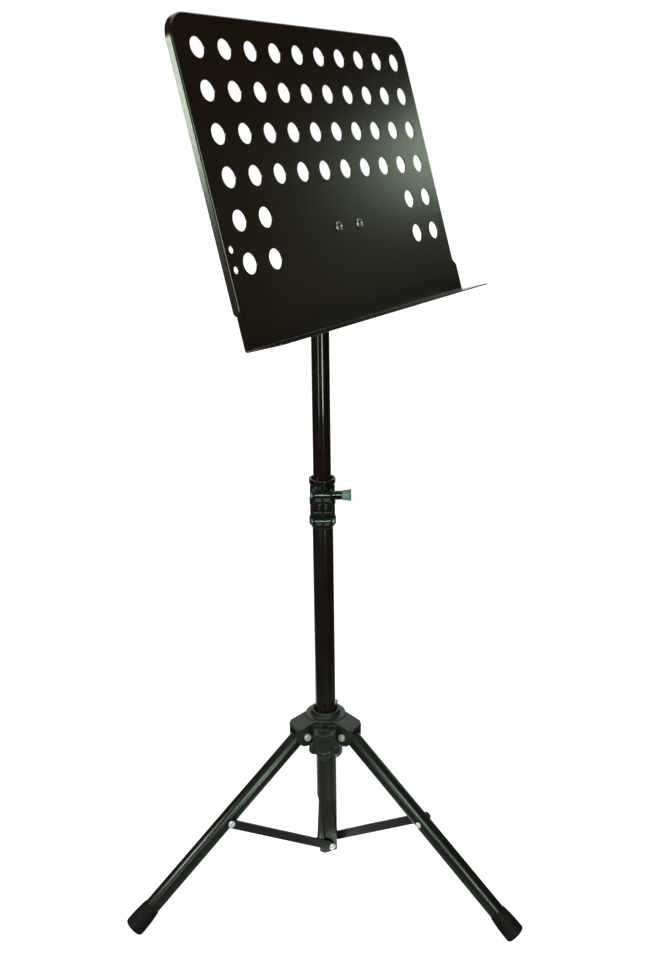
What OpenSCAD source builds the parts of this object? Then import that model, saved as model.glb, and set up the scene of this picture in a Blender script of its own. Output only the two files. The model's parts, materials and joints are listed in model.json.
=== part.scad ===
// Perforated sheet-steel music stand: tilting desk on a two-tube telescopic
// mast with a folding tripod. Frame: origin on the floor on the mast axis,
// +Z up, the desk faces -Y.

/* [Desk] */
// Width of the desk face over the folded side edges
desk_w = 465; // [380:1:520]
// Height of the desk sheet from the underside of the lip to the top bend
desk_h = 337; // [280:1:380]
// Thickness of the desk sheet
sheet_t = 1.5; // [1.0:0.1:2.5]
// Depth of the folded-back edge along the sides and the top
edge_depth = 9; // [6:0.5:14]
// Outer bend radius of the folded-back edge
edge_r = 3; // [2.2:0.1:5]
// Radius of the two top corners
corner_r = 27; // [20:1:45]
// How far the plain foot of the desk stands out past each side edge
tab_over = 5.5; // [0:0.5:12]
// Height at which the foot has narrowed to the width of the face
tab_top = 41; // [30:1:60]
// Height over which the foot narrows, down to where the folded side edges end
tab_step = 7; // [3:0.5:12]
// How much the rear lower corner of each folded side edge is cut away
edge_taper = 4.5; // [1:0.5:6]
// Depth of the lip that carries the sheets
lip_depth = 40; // [30:1:60]
// Plan radius of the two front corners of the lip
lip_corner_r = 36; // [5:1:38]

/* [Perforation] */
// Diameter of the large holes
hole_d = 21.8; // [16:0.2:26]
// Distance from a side edge to the middle of the outermost hole column
hole_margin = 34.5; // [24:0.5:60]
// Pitch of the hole rows along the slope
row_pitch = 43.5; // [32:0.5:50]
// Holes in a full row
hole_cols = 10; // [6:2:10]
// Full rows of holes
full_rows = 4; // [2:1:4]
// Rows that keep only the outer holes
side_rows = 2; // [0:1:2]
// Holes kept at each end of an outer row
side_cols = 2; // [1:1:3]
// Distance from the top of the desk to the top hole row
top_margin = 35.4; // [24:0.1:70]
// Diameter of the small accessory holes
small_d = 7.5; // [5:0.5:10]
// Distance from a side edge to the small accessory holes
small_in = 10.1; // [7:0.1:30]
// Height of the lower small hole
small_low = 80; // [60:1:120]
// Distance between the two small holes of one side
small_pitch = 20.4; // [14:0.1:40]

/* [Desk mounting] */
// Backward lean of the desk from the vertical
tilt_deg = 15.3; // [0:0.1:45]
// Height of the tilt axis above the top of the upper tube
head_rise = 19.2; // [14:0.1:40]
// Distance of the tilt axis behind the desk face
tilt_back = 43; // [38:0.5:60]
// Height of the tilt axis and the desk screws above the underside of the lip
tilt_up = 106.3; // [90:0.1:140]
// Distance of each desk screw from the middle
screw_x = 22.3; // [16:0.1:30]
// Diameter of the desk screws
screw_d = 6; // [4:0.5:8]
// Diameter of the desk screw heads
screw_head_d = 12.6; // [9:0.1:16]
// Width across flats of the nuts behind the desk
desk_nut_af = 10; // [8:0.5:13]
// Thickness of the desk bracket
bracket_t = 2.5; // [2:0.1:5]
// Width of the bracket plate
bracket_w = 66; // [50:1:90]
// Height of the bracket plate
bracket_h = 46; // [30:1:60]
// Radius of the bracket ears
ear_r = 12; // [9:0.5:16]

/* [Tilt joint] */
// Width of the tilt head between the bracket ears
head_w = 28; // [20:0.5:40]
// Radius of the tilt head barrel
head_r = 12.5; // [9:0.1:16]
// Diameter of the tilt bolt
tilt_bolt_d = 8; // [5:0.5:10]
// Width across flats of the tilt bolt head
tilt_bolt_af = 13; // [10:0.5:17]
// Diameter of the tilt knob
tilt_knob_d = 34; // [24:1:50]

/* [Mast] */
// Outer diameter of the upper tube
upper_d = 22; // [18:0.1:26]
// Wall of the upper tube
upper_wall = 1.5; // [1:0.1:2.5]
// Height of the lower end of the upper tube
upper_z0 = 305; // [200:1:400]
// Length of the upper tube
upper_len = 490; // [300:1:600]
// Outer diameter of the lower tube
lower_d = 25.4; // [22:0.1:32]
// Wall of the lower tube
lower_wall = 1.5; // [1:0.1:2.5]
// Height of the lower end of the lower tube above the floor
lower_z0 = 28.5; // [10:0.5:60]
// How far the end plug reaches into the lower tube
plug_in = 2.5; // [1:0.5:12]
// Height of the upper end of the lower tube above the floor
lower_z1 = 505; // [400:1:560]
// Length of the guide bush below the upper tube
bush_len = 12; // [8:1:20]

/* [Height clamp] */
// Turn of the clamp about the mast
clamp_turn = -57.4; // [-180:0.1:180]
// Height of the lower end of the clamp
clamp_z0 = 460; // [400:0.5:500]
// Length of the clamp
clamp_len = 61.5; // [50:0.5:80]
// Outer diameter of the clamp
clamp_d = 30.8; // [29:0.1:40]
// Diameter of the rim at the top of the clamp
rim_d = 32.6; // [31:0.1:44]
// Diameter of the clamp screws
clamp_screw_d = 4; // [3:0.1:6]
// Width across flats of the clamp nuts
clamp_nut_af = 7; // [6:0.5:10]
// Distance of the clamp screws from the mast axis
clamp_screw_y = 16.4; // [15:0.1:22]
// Height of the knob screw above the lower end of the clamp
clamp_knob_h = 44.4; // [36:0.1:52]
// Height of the fixed screw above the lower end of the clamp
clamp_fixed_h = 12; // [8:0.1:18]
// Width of the split
split_w = 2; // [1:0.1:4]

/* [Hub] */
// Distance of the leg pivots from the mast axis
pivot_r = 33; // [28:0.5:45]
// Half width of a hub arm
arm_w = 14.3; // [12:0.1:20]
// Reach of a hub arm from the mast axis
arm_reach = 46; // [40:0.5:60]
// Radius of the rounded ear under a hub arm
arm_ear_r = 12.5; // [10:0.1:16]
// Slope of the arm roof
roof_deg = 16.5; // [0:0.5:30]
// Radius of the hub disc
hub_r = 25; // [20:0.5:32]
// Radius of the collar on top of the hub
collar_r = 17.6; // [15:0.1:22]
// Diameter of the leg bolts
leg_bolt_d = 5; // [4:0.5:8]
// Diameter of the leg bolt heads
leg_bolt_head_d = 8.5; // [7:0.1:12]
// Width across flats of the leg bolt nuts
leg_nut_af = 8; // [7:0.5:13]
// Azimuth of the hub lock screw
lock_az = 210; // [0:1:360]
// Drop of the lock screw below the leg pivots
lock_drop = 3; // [0:0.5:8]
// Diameter of the hub lock screw
lock_stud_d = 5; // [4:0.5:8]
// Width across flats of the nut of the hub lock screw
lock_nut_af = 8; // [7:0.5:13]
// Diameter over the lobes of the hub lock knob
lock_knob_d = 39; // [28:0.5:50]

/* [Legs] */
// Lean of the legs from the vertical, standing open
leg_deg = 50.04; // [35:0.01:65]
// Outer diameter of the leg tube
leg_d = 19; // [16:0.1:25]
// Wall of the leg tube
leg_wall = 1.2; // [0.8:0.1:2]
// Distance from the leg pivot to the rim of the rubber foot
leg_len = 293.5; // [200:0.5:400]
// Diameter of the foot at its rim
foot_d = 24.4; // [22:0.1:32]
// Length of the rubber foot above its rim
foot_len = 29.5; // [20:0.5:45]
// Flat worn on the sole
sole_flat = 0.3; // [0:0.1:1]

/* [Braces] */
// Distance from the leg pivot to the brace rivet
brace_at = 134.3; // [100:0.1:180]
// Height of the lower brace rivets above the floor
brace_z = 35.7; // [30:0.1:60]
// Width of the brace strap
brace_w = 10.5; // [8:0.1:14]
// Thickness of the brace strap
brace_t = 3; // [2:0.1:4]
// Diameter of the brace rivets
rivet_d = 4.8; // [4:0.1:6]
// Diameter of the brace rivet heads
rivet_head_d = 8.6; // [7:0.1:11]
// Height up to which the foot of the lower tube is pressed flat
flat_top = 96; // [80:1:120]

/* [Fits] */
// Radial clearance of a turning or sliding fit
fit_run = 0.05; // [0.01:0.01:0.10]
// Gap between pieces of different bodies
gap_body = 0.3; // [0.2:0.05:0.6]
// Radial clearance where one piece is seated in another
fit_seat = 0.05; // [0.02:0.01:0.15]

/* [Hidden] */
upper_r = upper_d/2;
lower_r = lower_d/2;
upper_ri = upper_r - upper_wall;
lower_ri = lower_r - lower_wall;
upper_z1 = upper_z0 + upper_len;
tilt_z = upper_z1 + head_rise;
tab_w = desk_w + 2*tab_over;
hole_pitch = (desk_w - 2*hole_margin)/(hole_cols - 1);
small_x = desk_w/2 - small_in;
top_row_h = desk_h - top_margin;
leg_r = leg_d/2;
leg_ri = leg_r - leg_wall;
foot_r = foot_d/2;
foot_z0 = leg_len - foot_len;
leg_end = leg_len - 4;
pivot_z = leg_len*cos(leg_deg) + foot_r*sin(leg_deg) - sole_flat;
leg_azs = [270, 150, 30];
ear_in = head_w/2 + gap_body;
ear_out = ear_in + bracket_t;
strap_in = leg_r + gap_body + 0.2;
strap_out = strap_in + brace_t;
flat_r = strap_in - gap_body;
rivet_r = rivet_d/2;
rivet_head_r = rivet_head_d/2;
brace_px = pivot_r + brace_at*sin(leg_deg);
brace_pz = pivot_z - brace_at*cos(leg_deg);
brace_len = sqrt(brace_px*brace_px + (brace_pz - brace_z)*(brace_pz - brace_z));
brace_deg = atan2(brace_pz - brace_z, brace_px);
slot_w = leg_r + gap_body;
leg_over = 5;
slot_r = sqrt(leg_over*leg_over + leg_r*leg_r) + gap_body;
slot_in = 12.2;
roof_top = 18.1;
roof_x = 21;
disc_low = 7;
sleeve_r = 18.5;
sleeve_low = 13;
boss_reach = 34;
boss_w = 13.5;
boss_low = 15;
boss_top = 11.5;
lock_stud_r = lock_stud_d/2;
knob_recess_r = 9.5;
lock_z = pivot_z - lock_drop;
knob_back = boss_reach + gap_body;
knob_face = knob_back + 12.5;
clamp_r = clamp_d/2;
rim_r = rim_d/2;
clamp_z1 = clamp_z0 + clamp_len;
clamp_screw_r = clamp_screw_d/2;
pad_w = 11.5;
pad_y = 19.2;
clamp_neck_x = pad_w + gap_body;
clamp_cap_x = 23.4;
clamp_end_x = 34.5;
knob_screw_z = clamp_z0 + clamp_knob_h;
fixed_screw_z = clamp_z0 + clamp_fixed_h;
tilt_bolt_r = tilt_bolt_d/2;
screw_r = screw_d/2;
face_hw = desk_w/2;
tab_hw = tab_w/2;
foot_top = tab_top - tab_step;
q = 64;

// ---------- placing ----------
module at_desk() {
    translate([0, 0, tilt_z]) rotate([-tilt_deg, 0, 0])
        translate([0, -tilt_back, -tilt_up]) children();
}
module at_leg(k) {
    rotate([0, 0, leg_azs[k]]) translate([pivot_r, 0, pivot_z])
        rotate([0, 180 - leg_deg, 0]) children();
}
module at_brace(k) {
    rotate([0, 0, leg_azs[k]]) translate([0, 0, brace_z])
        rotate([0, -brace_deg, 0]) children();
}
module rod_x(r, x0, x1) {
    translate([x0, 0, 0]) rotate([0, 90, 0]) cylinder(r = r, h = x1 - x0, $fn = q);
}
module rod_y(r, y0, y1) {
    translate([0, y0, 0]) rotate([-90, 0, 0]) cylinder(r = r, h = y1 - y0, $fn = q);
}

module hex_bar(af, l) {
    // hexagonal bar along z, flats facing +-x
    intersection() {
        translate([-af/2, -af, 0]) cube([af, 2*af, l]);
        rotate([0, 0, 60]) translate([-af/2, -af, 0]) cube([af, 2*af, l]);
        rotate([0, 0, 120]) translate([-af/2, -af, 0]) cube([af, 2*af, l]);
    }
}
module hex_x(af, x0, x1) {
    translate([x0, 0, 0]) rotate([0, 90, 0]) hex_bar(af, x1 - x0);
}
module hex_y(af, y0, y1) {
    translate([0, y0, 0]) rotate([-90, 0, 0]) hex_bar(af, y1 - y0);
}

// ---------- desk ----------
module edge_profile(x0, r1) {
    // plate, bend and folded edge in one section, x outward and y backward
    translate([x0, 0]) square([r1 - edge_r - x0, sheet_t]);
    intersection() {
        translate([r1 - edge_r, 0]) square([edge_r, edge_r]);
        difference() {
            translate([r1 - edge_r, edge_r]) circle(r = edge_r, $fn = q);
            translate([r1 - edge_r, edge_r]) circle(r = edge_r - sheet_t, $fn = q);
        }
    }
    translate([r1 - sheet_t, edge_r]) square([sheet_t, edge_depth - edge_r]);
}
module side_edge(s) {
    // one folded side edge, standing along z
    mirror([s < 0 ? 1 : 0, 0, 0]) translate([face_hw, 0, foot_top]) difference() {
        linear_extrude(height = desk_h - corner_r - foot_top)
            edge_profile(-corner_r, 0);
        translate([-edge_r, edge_depth, -edge_taper]) rotate([45, 0, 0])
            cube([edge_r + 1, edge_taper*2, edge_taper*sqrt(2)]);
    }
}
module shoulder(s) {
    // slope that narrows the foot to the width of the face
    mirror([s < 0 ? 1 : 0, 0, 0]) translate([0, sheet_t, 0]) rotate([90, 0, 0])
        linear_extrude(height = sheet_t) polygon([[face_hw - corner_r, foot_top - 1],
            [tab_hw, foot_top - 1], [tab_hw, foot_top], [face_hw, tab_top],
            [face_hw - corner_r, tab_top]]);
}
module top_edge() {
    translate([-(face_hw - corner_r), 0, desk_h - corner_r])
        rotate([0, 90, 0]) rotate([0, 0, 180]) mirror([0, 1, 0])
            linear_extrude(height = desk_w - 2*corner_r)
                edge_profile(0, corner_r);
}
module top_corner(s) {
    // quarter turn of the same section about the corner centre
    mirror([s < 0 ? 1 : 0, 0, 0])
        translate([face_hw - corner_r, 0, desk_h - corner_r])
            rotate([-90, 0, 0]) rotate([0, 0, -90])
                rotate_extrude(angle = 90, $fn = q) edge_profile(0, corner_r);
}
module lip_plan() {
    difference() {
        translate([-tab_hw, -lip_depth, 0]) cube([tab_w, lip_depth - 2, sheet_t]);
        for (s = [-1, 1]) translate([s*(tab_hw - lip_corner_r), -(lip_depth - lip_corner_r), 0])
            difference() {
                translate([s > 0 ? 0 : -lip_corner_r - 1, -lip_corner_r - 1, -1])
                    cube([lip_corner_r + 1, lip_corner_r + 1, sheet_t + 2]);
                translate([0, 0, -2]) cylinder(r = lip_corner_r, h = sheet_t + 4, $fn = 96);
            }
    }
}
module lip_bend() {
    // bend between the face and the lip, inside radius equal to the sheet
    translate([-tab_hw, 0, 0]) intersection() {
        translate([0, -2, 0]) cube([tab_w, 2 + sheet_t, 2 + sheet_t]);
        difference() {
            translate([0, -2, 2 + sheet_t]) rod_x(2 + sheet_t, 0, tab_w);
            translate([0, -2, 2 + sheet_t]) rod_x(2, -1, tab_w + 1);
        }
    }
}
module large_hole(x, z) {
    translate([x, 0, z]) rod_y(hole_d/2, -2, sheet_t + 2);
}
module desk_panel() {
    color([0.10, 0.10, 0.09]) at_desk() difference() {
        union() {
            translate([-(face_hw - corner_r), 0, tab_top - 1])
                cube([desk_w - 2*corner_r, sheet_t, desk_h - corner_r - tab_top + 1]);
            for (s = [-1, 1]) { side_edge(s); shoulder(s); top_corner(s); }
            top_edge();
            // plain foot of the desk, wider than the face
            translate([-tab_hw, 0, 2 + sheet_t]) cube([tab_w, sheet_t, foot_top - 2 - sheet_t]);
            translate([-face_hw + edge_r, 0, foot_top - 1])
                cube([desk_w - 2*edge_r, sheet_t, tab_step + 1.5]);
            lip_bend();
            lip_plan();
        }
        for (r = [0 : full_rows - 1], c = [0 : hole_cols - 1])
            large_hole((c - (hole_cols - 1)/2)*hole_pitch, top_row_h - r*row_pitch);
        if (side_rows > 0)
            for (r = [0 : side_rows - 1], c = [0 : side_cols - 1], s = [-1, 1])
                large_hole(s*((hole_cols - 1)/2 - c)*hole_pitch,
                    top_row_h - (full_rows + r)*row_pitch);
        for (s = [-1, 1], k = [0, 1])
            translate([s*small_x, 0, small_low + k*small_pitch]) rod_y(small_d/2, -2, sheet_t + 2);
        for (s = [-1, 1])
            translate([s*screw_x, 0, tilt_up]) rod_y(screw_r + fit_seat, -2, sheet_t + 2);
    }
}
module desk_screws() {
    color([0.55, 0.57, 0.55]) at_desk() for (s = [-1, 1]) translate([s*screw_x, 0, tilt_up]) {
        difference() {
            translate([0, -2.6, 0]) rotate([-90, 0, 0])
                cylinder(r1 = screw_head_d/2 - 2.4, r2 = screw_head_d/2, h = 2.6, $fn = q);
            rod_y(1.6, -4, -1.2);
        }
        rod_y(screw_r, -0.2, sheet_t + bracket_t + 6);
    }
}
module desk_nuts() {
    color([0.55, 0.57, 0.55]) at_desk() for (s = [-1, 1])
        translate([s*screw_x, sheet_t + bracket_t, tilt_up]) difference() {
            hex_y(desk_nut_af, 0, 4.6);
            rod_y(screw_r + fit_seat, -1, 6);
        }
}
module desk_bracket() {
    color([0.07, 0.07, 0.07]) at_desk() difference() {
        union() {
            translate([-bracket_w/2, sheet_t, tilt_up - bracket_h/2])
                cube([bracket_w, bracket_t, bracket_h]);
            for (s = [-1, 1]) translate([s > 0 ? ear_in : -ear_out, 0, tilt_up]) {
                translate([0, sheet_t + 0.5, -ear_r]) cube([bracket_t, tilt_back - sheet_t - 0.5, 2*ear_r]);
                translate([0, tilt_back, 0]) rod_x(ear_r, 0, bracket_t);
            }
        }
        for (s = [-1, 1])
            translate([s*screw_x, 0, tilt_up]) rod_y(screw_r + fit_seat, 0, sheet_t + bracket_t + 1);
        translate([0, tilt_back, tilt_up]) rod_x(tilt_bolt_r + fit_seat, -ear_out - 1, ear_out + 1);
    }
}

// ---------- tilt joint ----------
module tilt_bolt() {
    color([0.55, 0.57, 0.58]) translate([0, 0, tilt_z]) {
        hex_x(tilt_bolt_af, -ear_out - 5, -ear_out);
        rod_x(tilt_bolt_r, -ear_out - 0.5, ear_out + 13);
    }
}
module tilt_knob() {
    color([0.06, 0.06, 0.06]) translate([ear_out + gap_body, 0, tilt_z]) difference() {
        union() {
            rod_x(9, 0, 4);
            rod_x(tilt_knob_d/2 - 5, 3, 15);
            for (a = [0 : 72 : 359]) rotate([a, 0, 0])
                translate([0, 0, tilt_knob_d/2 - 6]) rod_x(6, 3, 14);
        }
        rod_x(tilt_bolt_r + fit_run, -1, 13.2);
    }
}
module tilt_head() {
    color([0.05, 0.055, 0.05]) difference() {
        union() {
            translate([0, 0, tilt_z]) rod_x(head_r, -head_w/2, head_w/2);
            translate([0, 0, upper_z1]) cylinder(r = upper_r + 0.6, h = tilt_z - upper_z1, $fn = q);
            translate([0, 0, upper_z1 - 22]) cylinder(r = upper_ri - fit_seat, h = 23, $fn = q);
        }
        translate([0, 0, tilt_z]) rod_x(tilt_bolt_r + fit_run, -head_w, head_w);
    }
}

// ---------- mast ----------
module upper_tube() {
    color([0.03, 0.03, 0.03]) translate([0, 0, upper_z0]) difference() {
        cylinder(r = upper_r, h = upper_len, $fn = q);
        translate([0, 0, -1]) cylinder(r = upper_ri, h = upper_len + 2, $fn = q);
    }
}
module mast_bush() {
    color([0.35, 0.35, 0.33]) difference() {
        union() {
            translate([0, 0, upper_z0 - gap_body - bush_len])
                cylinder(r = lower_ri - fit_run, h = bush_len, $fn = q);
            translate([0, 0, upper_z0 - gap_body - 1])
                cylinder(r = upper_ri - fit_run, h = 18, $fn = q);
        }
        translate([0, 0, upper_z0 - bush_len - 5]) cylinder(r = 5.5, h = bush_len + 30, $fn = q);
    }
}
module flat_cuts(d) {
    // three pressed faces, each square to one brace rivet
    for (a = leg_azs) rotate([0, 0, a + 90]) {
        translate([d, -20, lower_z0 - 10]) cube([20, 40, flat_top - lower_z0 + 10]);
        translate([d, -20, flat_top]) rotate([0, 16.7, 0]) cube([20, 40, 30]);
    }
}
module formed_bar(r, d, z0, z1) {
    difference() {
        translate([0, 0, z0]) cylinder(r = r, h = z1 - z0, $fn = q);
        flat_cuts(d);
    }
}
module lower_tube() {
    color([0.03, 0.035, 0.03]) difference() {
        formed_bar(lower_r, flat_r, lower_z0, lower_z1);
        formed_bar(lower_ri, flat_r - lower_wall, lower_z0 - 1, lower_z1 + 1);
        for (a = leg_azs) rotate([0, 0, a]) translate([0, 0, brace_z])
            rod_y(rivet_r + fit_seat, 5, 15);
    }
}
module base_plug() {
    color([0.05, 0.05, 0.05]) {
        formed_bar(lower_r, flat_r, lower_z0 - 1.6, lower_z0);
        formed_bar(lower_ri - fit_seat, flat_r - lower_wall - fit_seat, lower_z0 - 0.5, lower_z0 + plug_in);
    }
}
module base_rivets() {
    color([0.75, 0.76, 0.76]) for (a = leg_azs) rotate([0, 0, a]) translate([0, 0, brace_z]) {
        rod_y(rivet_head_r - 0.6, flat_r - lower_wall - 1.4, flat_r - lower_wall - 0.2);
        rod_y(rivet_r, flat_r - lower_wall - 1, strap_out + gap_body + 0.5);
        translate([0, strap_out + gap_body, 0]) rotate([-90, 0, 0])
            cylinder(r1 = rivet_head_r, r2 = rivet_head_r - 1.9, h = 1.9, $fn = q);
    }
}

// ---------- height clamp ----------
module clamp_collar() {
    color([0.05, 0.055, 0.05]) rotate([0, 0, clamp_turn]) difference() {
        union() {
            translate([0, 0, clamp_z0 + 1]) cylinder(r = clamp_r, h = clamp_len - 2, $fn = q);
            translate([0, 0, clamp_z0]) cylinder(r1 = lower_r + 0.8, r2 = rim_r + 0.2, h = 5, $fn = q);
            translate([0, 0, clamp_z0 + 5]) cylinder(r = rim_r + 0.2, h = 7, $fn = q);
            translate([0, 0, clamp_z0 + 12]) cylinder(r1 = rim_r + 0.2, r2 = clamp_r, h = 3, $fn = q);
            translate([0, 0, clamp_z0 + 29]) cylinder(r = clamp_r + 0.6, h = 8, $fn = q);
            translate([0, 0, clamp_z1 - 7]) cylinder(r1 = clamp_r, r2 = rim_r, h = 1.5, $fn = q);
            translate([0, 0, clamp_z1 - 5.5]) cylinder(r = rim_r, h = 5.5, $fn = q);
            translate([-pad_w, -pad_y, clamp_z0 + 4]) cube([2*pad_w, 10, clamp_len - 13]);
            for (z = [clamp_z0 + 22, clamp_z0 + 31, clamp_z0 + 49]) translate([-5, -pad_y - 1, z])
                cube([10, 4, 3.2]);
        }
        translate([0, 0, clamp_z0 - 1]) cylinder(r = lower_r + fit_seat, h = lower_z1 - clamp_z0 + 1.2, $fn = q);
        translate([0, 0, clamp_z0]) cylinder(r = upper_r + fit_run, h = clamp_len + 2, $fn = q);
        translate([0, 0, clamp_z1 - 5]) cylinder(r = rim_r - 2.6, h = 8, $fn = q);
        translate([-split_w/2, -40, clamp_z0 - 1]) cube([split_w, 32, clamp_len + 2]);
        translate([-pad_w + 2.2, -40, knob_screw_z - 7]) cube([2*pad_w - 4.4, 26.2, 14]);
        translate([-pad_w + 2.2, -40, fixed_screw_z - 5]) cube([2*pad_w - 4.4, 26.2, 13]);
        for (z = [knob_screw_z, fixed_screw_z]) translate([0, -clamp_screw_y, z])
            rod_x(clamp_screw_r + fit_run, -30, 30);
    }
}
module clamp_screw() {
    color([0.70, 0.72, 0.72]) rotate([0, 0, clamp_turn])
        translate([0, -clamp_screw_y, fixed_screw_z]) {
            rod_x(3.7, -pad_w - 2.6, -pad_w);
            rod_x(clamp_screw_r, -pad_w - 1, pad_w + 3.5);
        }
}
module clamp_nuts() {
    color([0.70, 0.72, 0.72]) rotate([0, 0, clamp_turn]) {
        translate([0, -clamp_screw_y, fixed_screw_z]) difference() {
            hex_x(clamp_nut_af, pad_w, pad_w + 2.8);
            rod_x(clamp_screw_r + fit_run, 0, 30);
        }
        translate([0, -clamp_screw_y, knob_screw_z]) difference() {
            hex_x(clamp_nut_af, -pad_w - 2.8, -pad_w);
            rod_x(clamp_screw_r + fit_run, -30, 0);
        }
    }
}
module clamp_stud() {
    color([0.70, 0.72, 0.72]) rotate([0, 0, clamp_turn])
        translate([0, -clamp_screw_y, knob_screw_z])
            rod_x(clamp_screw_r, -pad_w - 3.4, clamp_cap_x + 4);
}
module clamp_knob() {
    color([0.20, 0.25, 0.22]) rotate([0, 0, clamp_turn])
        translate([0, -clamp_screw_y, knob_screw_z]) difference() {
            union() {
                rod_x(5.6, clamp_neck_x, clamp_cap_x + 0.5);
                translate([clamp_cap_x, 0, 0]) rotate([0, 90, 0])
                    cylinder(r1 = 6, r2 = 7.2, h = clamp_end_x - clamp_cap_x, $fn = q);
            }
            rod_x(clamp_screw_r + fit_seat, clamp_neck_x - 1, clamp_cap_x + 4.2);
        }
}

// ---------- hub ----------
module hub_arm() {
    difference() {
        union() {
            translate([10, -arm_w, pivot_z - 3]) cube([arm_reach - 10, 2*arm_w, roof_top + 3]);
            translate([pivot_r, 0, pivot_z]) rod_y(arm_ear_r, -arm_w, arm_w);
        }
        translate([roof_x, -20, pivot_z + roof_top]) rotate([0, roof_deg, 0]) cube([60, 40, 30]);
        for (s = [-1, 1]) translate([arm_reach, s*arm_w, 0]) rotate([0, 0, 45])
            translate([-3.2, -3.2, pivot_z - 20]) cube([6.4, 6.4, 50]);
    }
}
module hub_slot() {
    // room for the leg end: one prism, its roof parallel to the arm's
    translate([pivot_r, 0, pivot_z]) rotate([90, 0, 0])
        linear_extrude(height = 2*slot_w, center = true)
            polygon([[-slot_in, -arm_reach], [arm_reach, -arm_reach],
                [arm_reach, slot_r/cos(roof_deg) - arm_reach*tan(roof_deg)],
                [-slot_in + 3.6, slot_r/cos(roof_deg) + (slot_in - 3.6)*tan(roof_deg)],
                [-slot_in, 1.8]]);
}
module hub() {
    color([0.07, 0.085, 0.075]) difference() {
        union() {
            translate([0, 0, pivot_z - sleeve_low]) cylinder(r = sleeve_r, h = sleeve_low + 10, $fn = q);
            translate([0, 0, pivot_z + disc_low]) cylinder(r = hub_r, h = roof_top - disc_low, $fn = 96);
            translate([0, 0, pivot_z + roof_top - 0.5]) cylinder(r1 = collar_r + 1.2, r2 = collar_r, h = 6.5, $fn = q);
            for (a = leg_azs) rotate([0, 0, a]) hub_arm();
            rotate([0, 0, lock_az]) translate([15, -boss_w, pivot_z - boss_low])
                cube([boss_reach - 15, 2*boss_w, boss_low + boss_top]);
        }
        translate([0, 0, pivot_z - sleeve_low - 2]) cylinder(r = lower_r + fit_run, h = sleeve_low + roof_top + 12, $fn = q);
        translate([0, 0, pivot_z + roof_top + 2]) cylinder(r1 = lower_r + fit_run, r2 = collar_r - 1.8, h = 4.2, $fn = q);
        for (a = leg_azs) rotate([0, 0, a]) {
            hub_slot();
            translate([pivot_r, 0, pivot_z]) rod_y(leg_bolt_d/2 + fit_seat, -30, 30);
        }
        rotate([0, 0, lock_az]) {
            translate([0, 0, lock_z]) rod_x(lock_stud_r + fit_run, 10, 40);
            translate([24.2, -lock_nut_af/2 - 0.2, lock_z - lock_nut_af/2 - 0.6]) cube([3.6, lock_nut_af + 0.4, 40]);
        }
    }
}
module hub_bolts() {
    color([0.78, 0.79, 0.80]) for (a = leg_azs) rotate([0, 0, a]) translate([pivot_r, 0, pivot_z])
        difference() {
            union() {
                rod_y(leg_bolt_head_d/2, arm_w, arm_w + 3.2);
                rod_y(leg_bolt_d/2, -arm_w - 3.6, arm_w + 1);
            }
            rod_y(2, arm_w + 1.2, arm_w + 5);
        }
}
module hub_nuts() {
    color([0.72, 0.66, 0.48]) for (a = leg_azs) rotate([0, 0, a]) translate([pivot_r, 0, pivot_z])
        difference() {
            hex_y(leg_nut_af, -arm_w - 3.2, -arm_w);
            rod_y(leg_bolt_d/2 + fit_seat, -arm_w - 5, 0);
        }
}
module lock_nut() {
    color([0.70, 0.72, 0.72]) rotate([0, 0, lock_az]) translate([0, 0, lock_z]) difference() {
        rotate([90, 0, 0]) hex_x(lock_nut_af, 24.5, 27.5);
        rod_x(lock_stud_r + fit_run, 20, 30);
    }
}
module lock_stud() {
    color([0.70, 0.72, 0.72]) rotate([0, 0, lock_az]) translate([0, 0, lock_z])
        rod_x(lock_stud_r, lower_r + gap_body + 0.1, knob_face - 3);
}
module lock_knob() {
    color([0.08, 0.095, 0.085]) rotate([0, 0, lock_az]) translate([0, 0, lock_z]) difference() {
        union() {
            rod_x(8.5, knob_back, knob_face - 9);
            rod_x(lock_knob_d/2 - 5, knob_face - 10, knob_face);
            for (i = [0 : 4]) rotate([180 + 72*i, 0, 0])
                translate([0, 0, lock_knob_d/2 - 6.2]) rod_x(6.2, knob_face - 9.6, knob_face - 0.4);
        }
        rod_x(lock_stud_r + fit_seat, knob_back - 1, knob_face - 2.8);
        rod_x(knob_recess_r, knob_face - 0.9, knob_face + 1);
    }
}

// ---------- legs ----------
module leg(k) {
    color([0.03, 0.035, 0.03]) at_leg(k) difference() {
        translate([0, 0, -leg_over]) cylinder(r = leg_r, h = leg_over + leg_end, $fn = q);
        translate([0, 0, -leg_over - 1]) cylinder(r = leg_ri, h = leg_over + leg_end + 2, $fn = q);
        rod_y(leg_bolt_d/2 + fit_run, -20, 20);
        translate([0, 0, brace_at]) rod_y(rivet_r + fit_seat, -20, 20);
    }
}
module leg_rivet(k) {
    color([0.75, 0.76, 0.76]) at_leg(k) translate([0, 0, brace_at]) {
        translate([0, -leg_r - 1.6, 0]) rotate([-90, 0, 0])
            cylinder(r1 = rivet_head_r - 1.8, r2 = rivet_head_r, h = 1.6, $fn = q);
        rod_y(rivet_r, -leg_r - 0.4, strap_in - gap_body);
    }
}
module foot(k) {
    color([0.03, 0.03, 0.03]) difference() {
        at_leg(k) difference() {
            union() {
                translate([0, 0, foot_z0]) cylinder(r1 = leg_r + 0.7, r2 = foot_r, h = foot_len, $fn = q);
                translate([0, 0, leg_len]) cylinder(r1 = foot_r, r2 = foot_r - 2, h = 2, $fn = q);
                translate([0, 0, leg_len + 2]) cylinder(r1 = foot_r - 2, r2 = foot_r - 6, h = 1.5, $fn = q);
            }
            translate([0, 0, foot_z0 - 1]) cylinder(r = leg_r + fit_seat, h = leg_end - foot_z0 + 1, $fn = q);
        }
        translate([-leg_len - pivot_r, -leg_len - pivot_r, -foot_len])
            cube([2*(leg_len + pivot_r), 2*(leg_len + pivot_r), foot_len]);
    }
}

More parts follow.
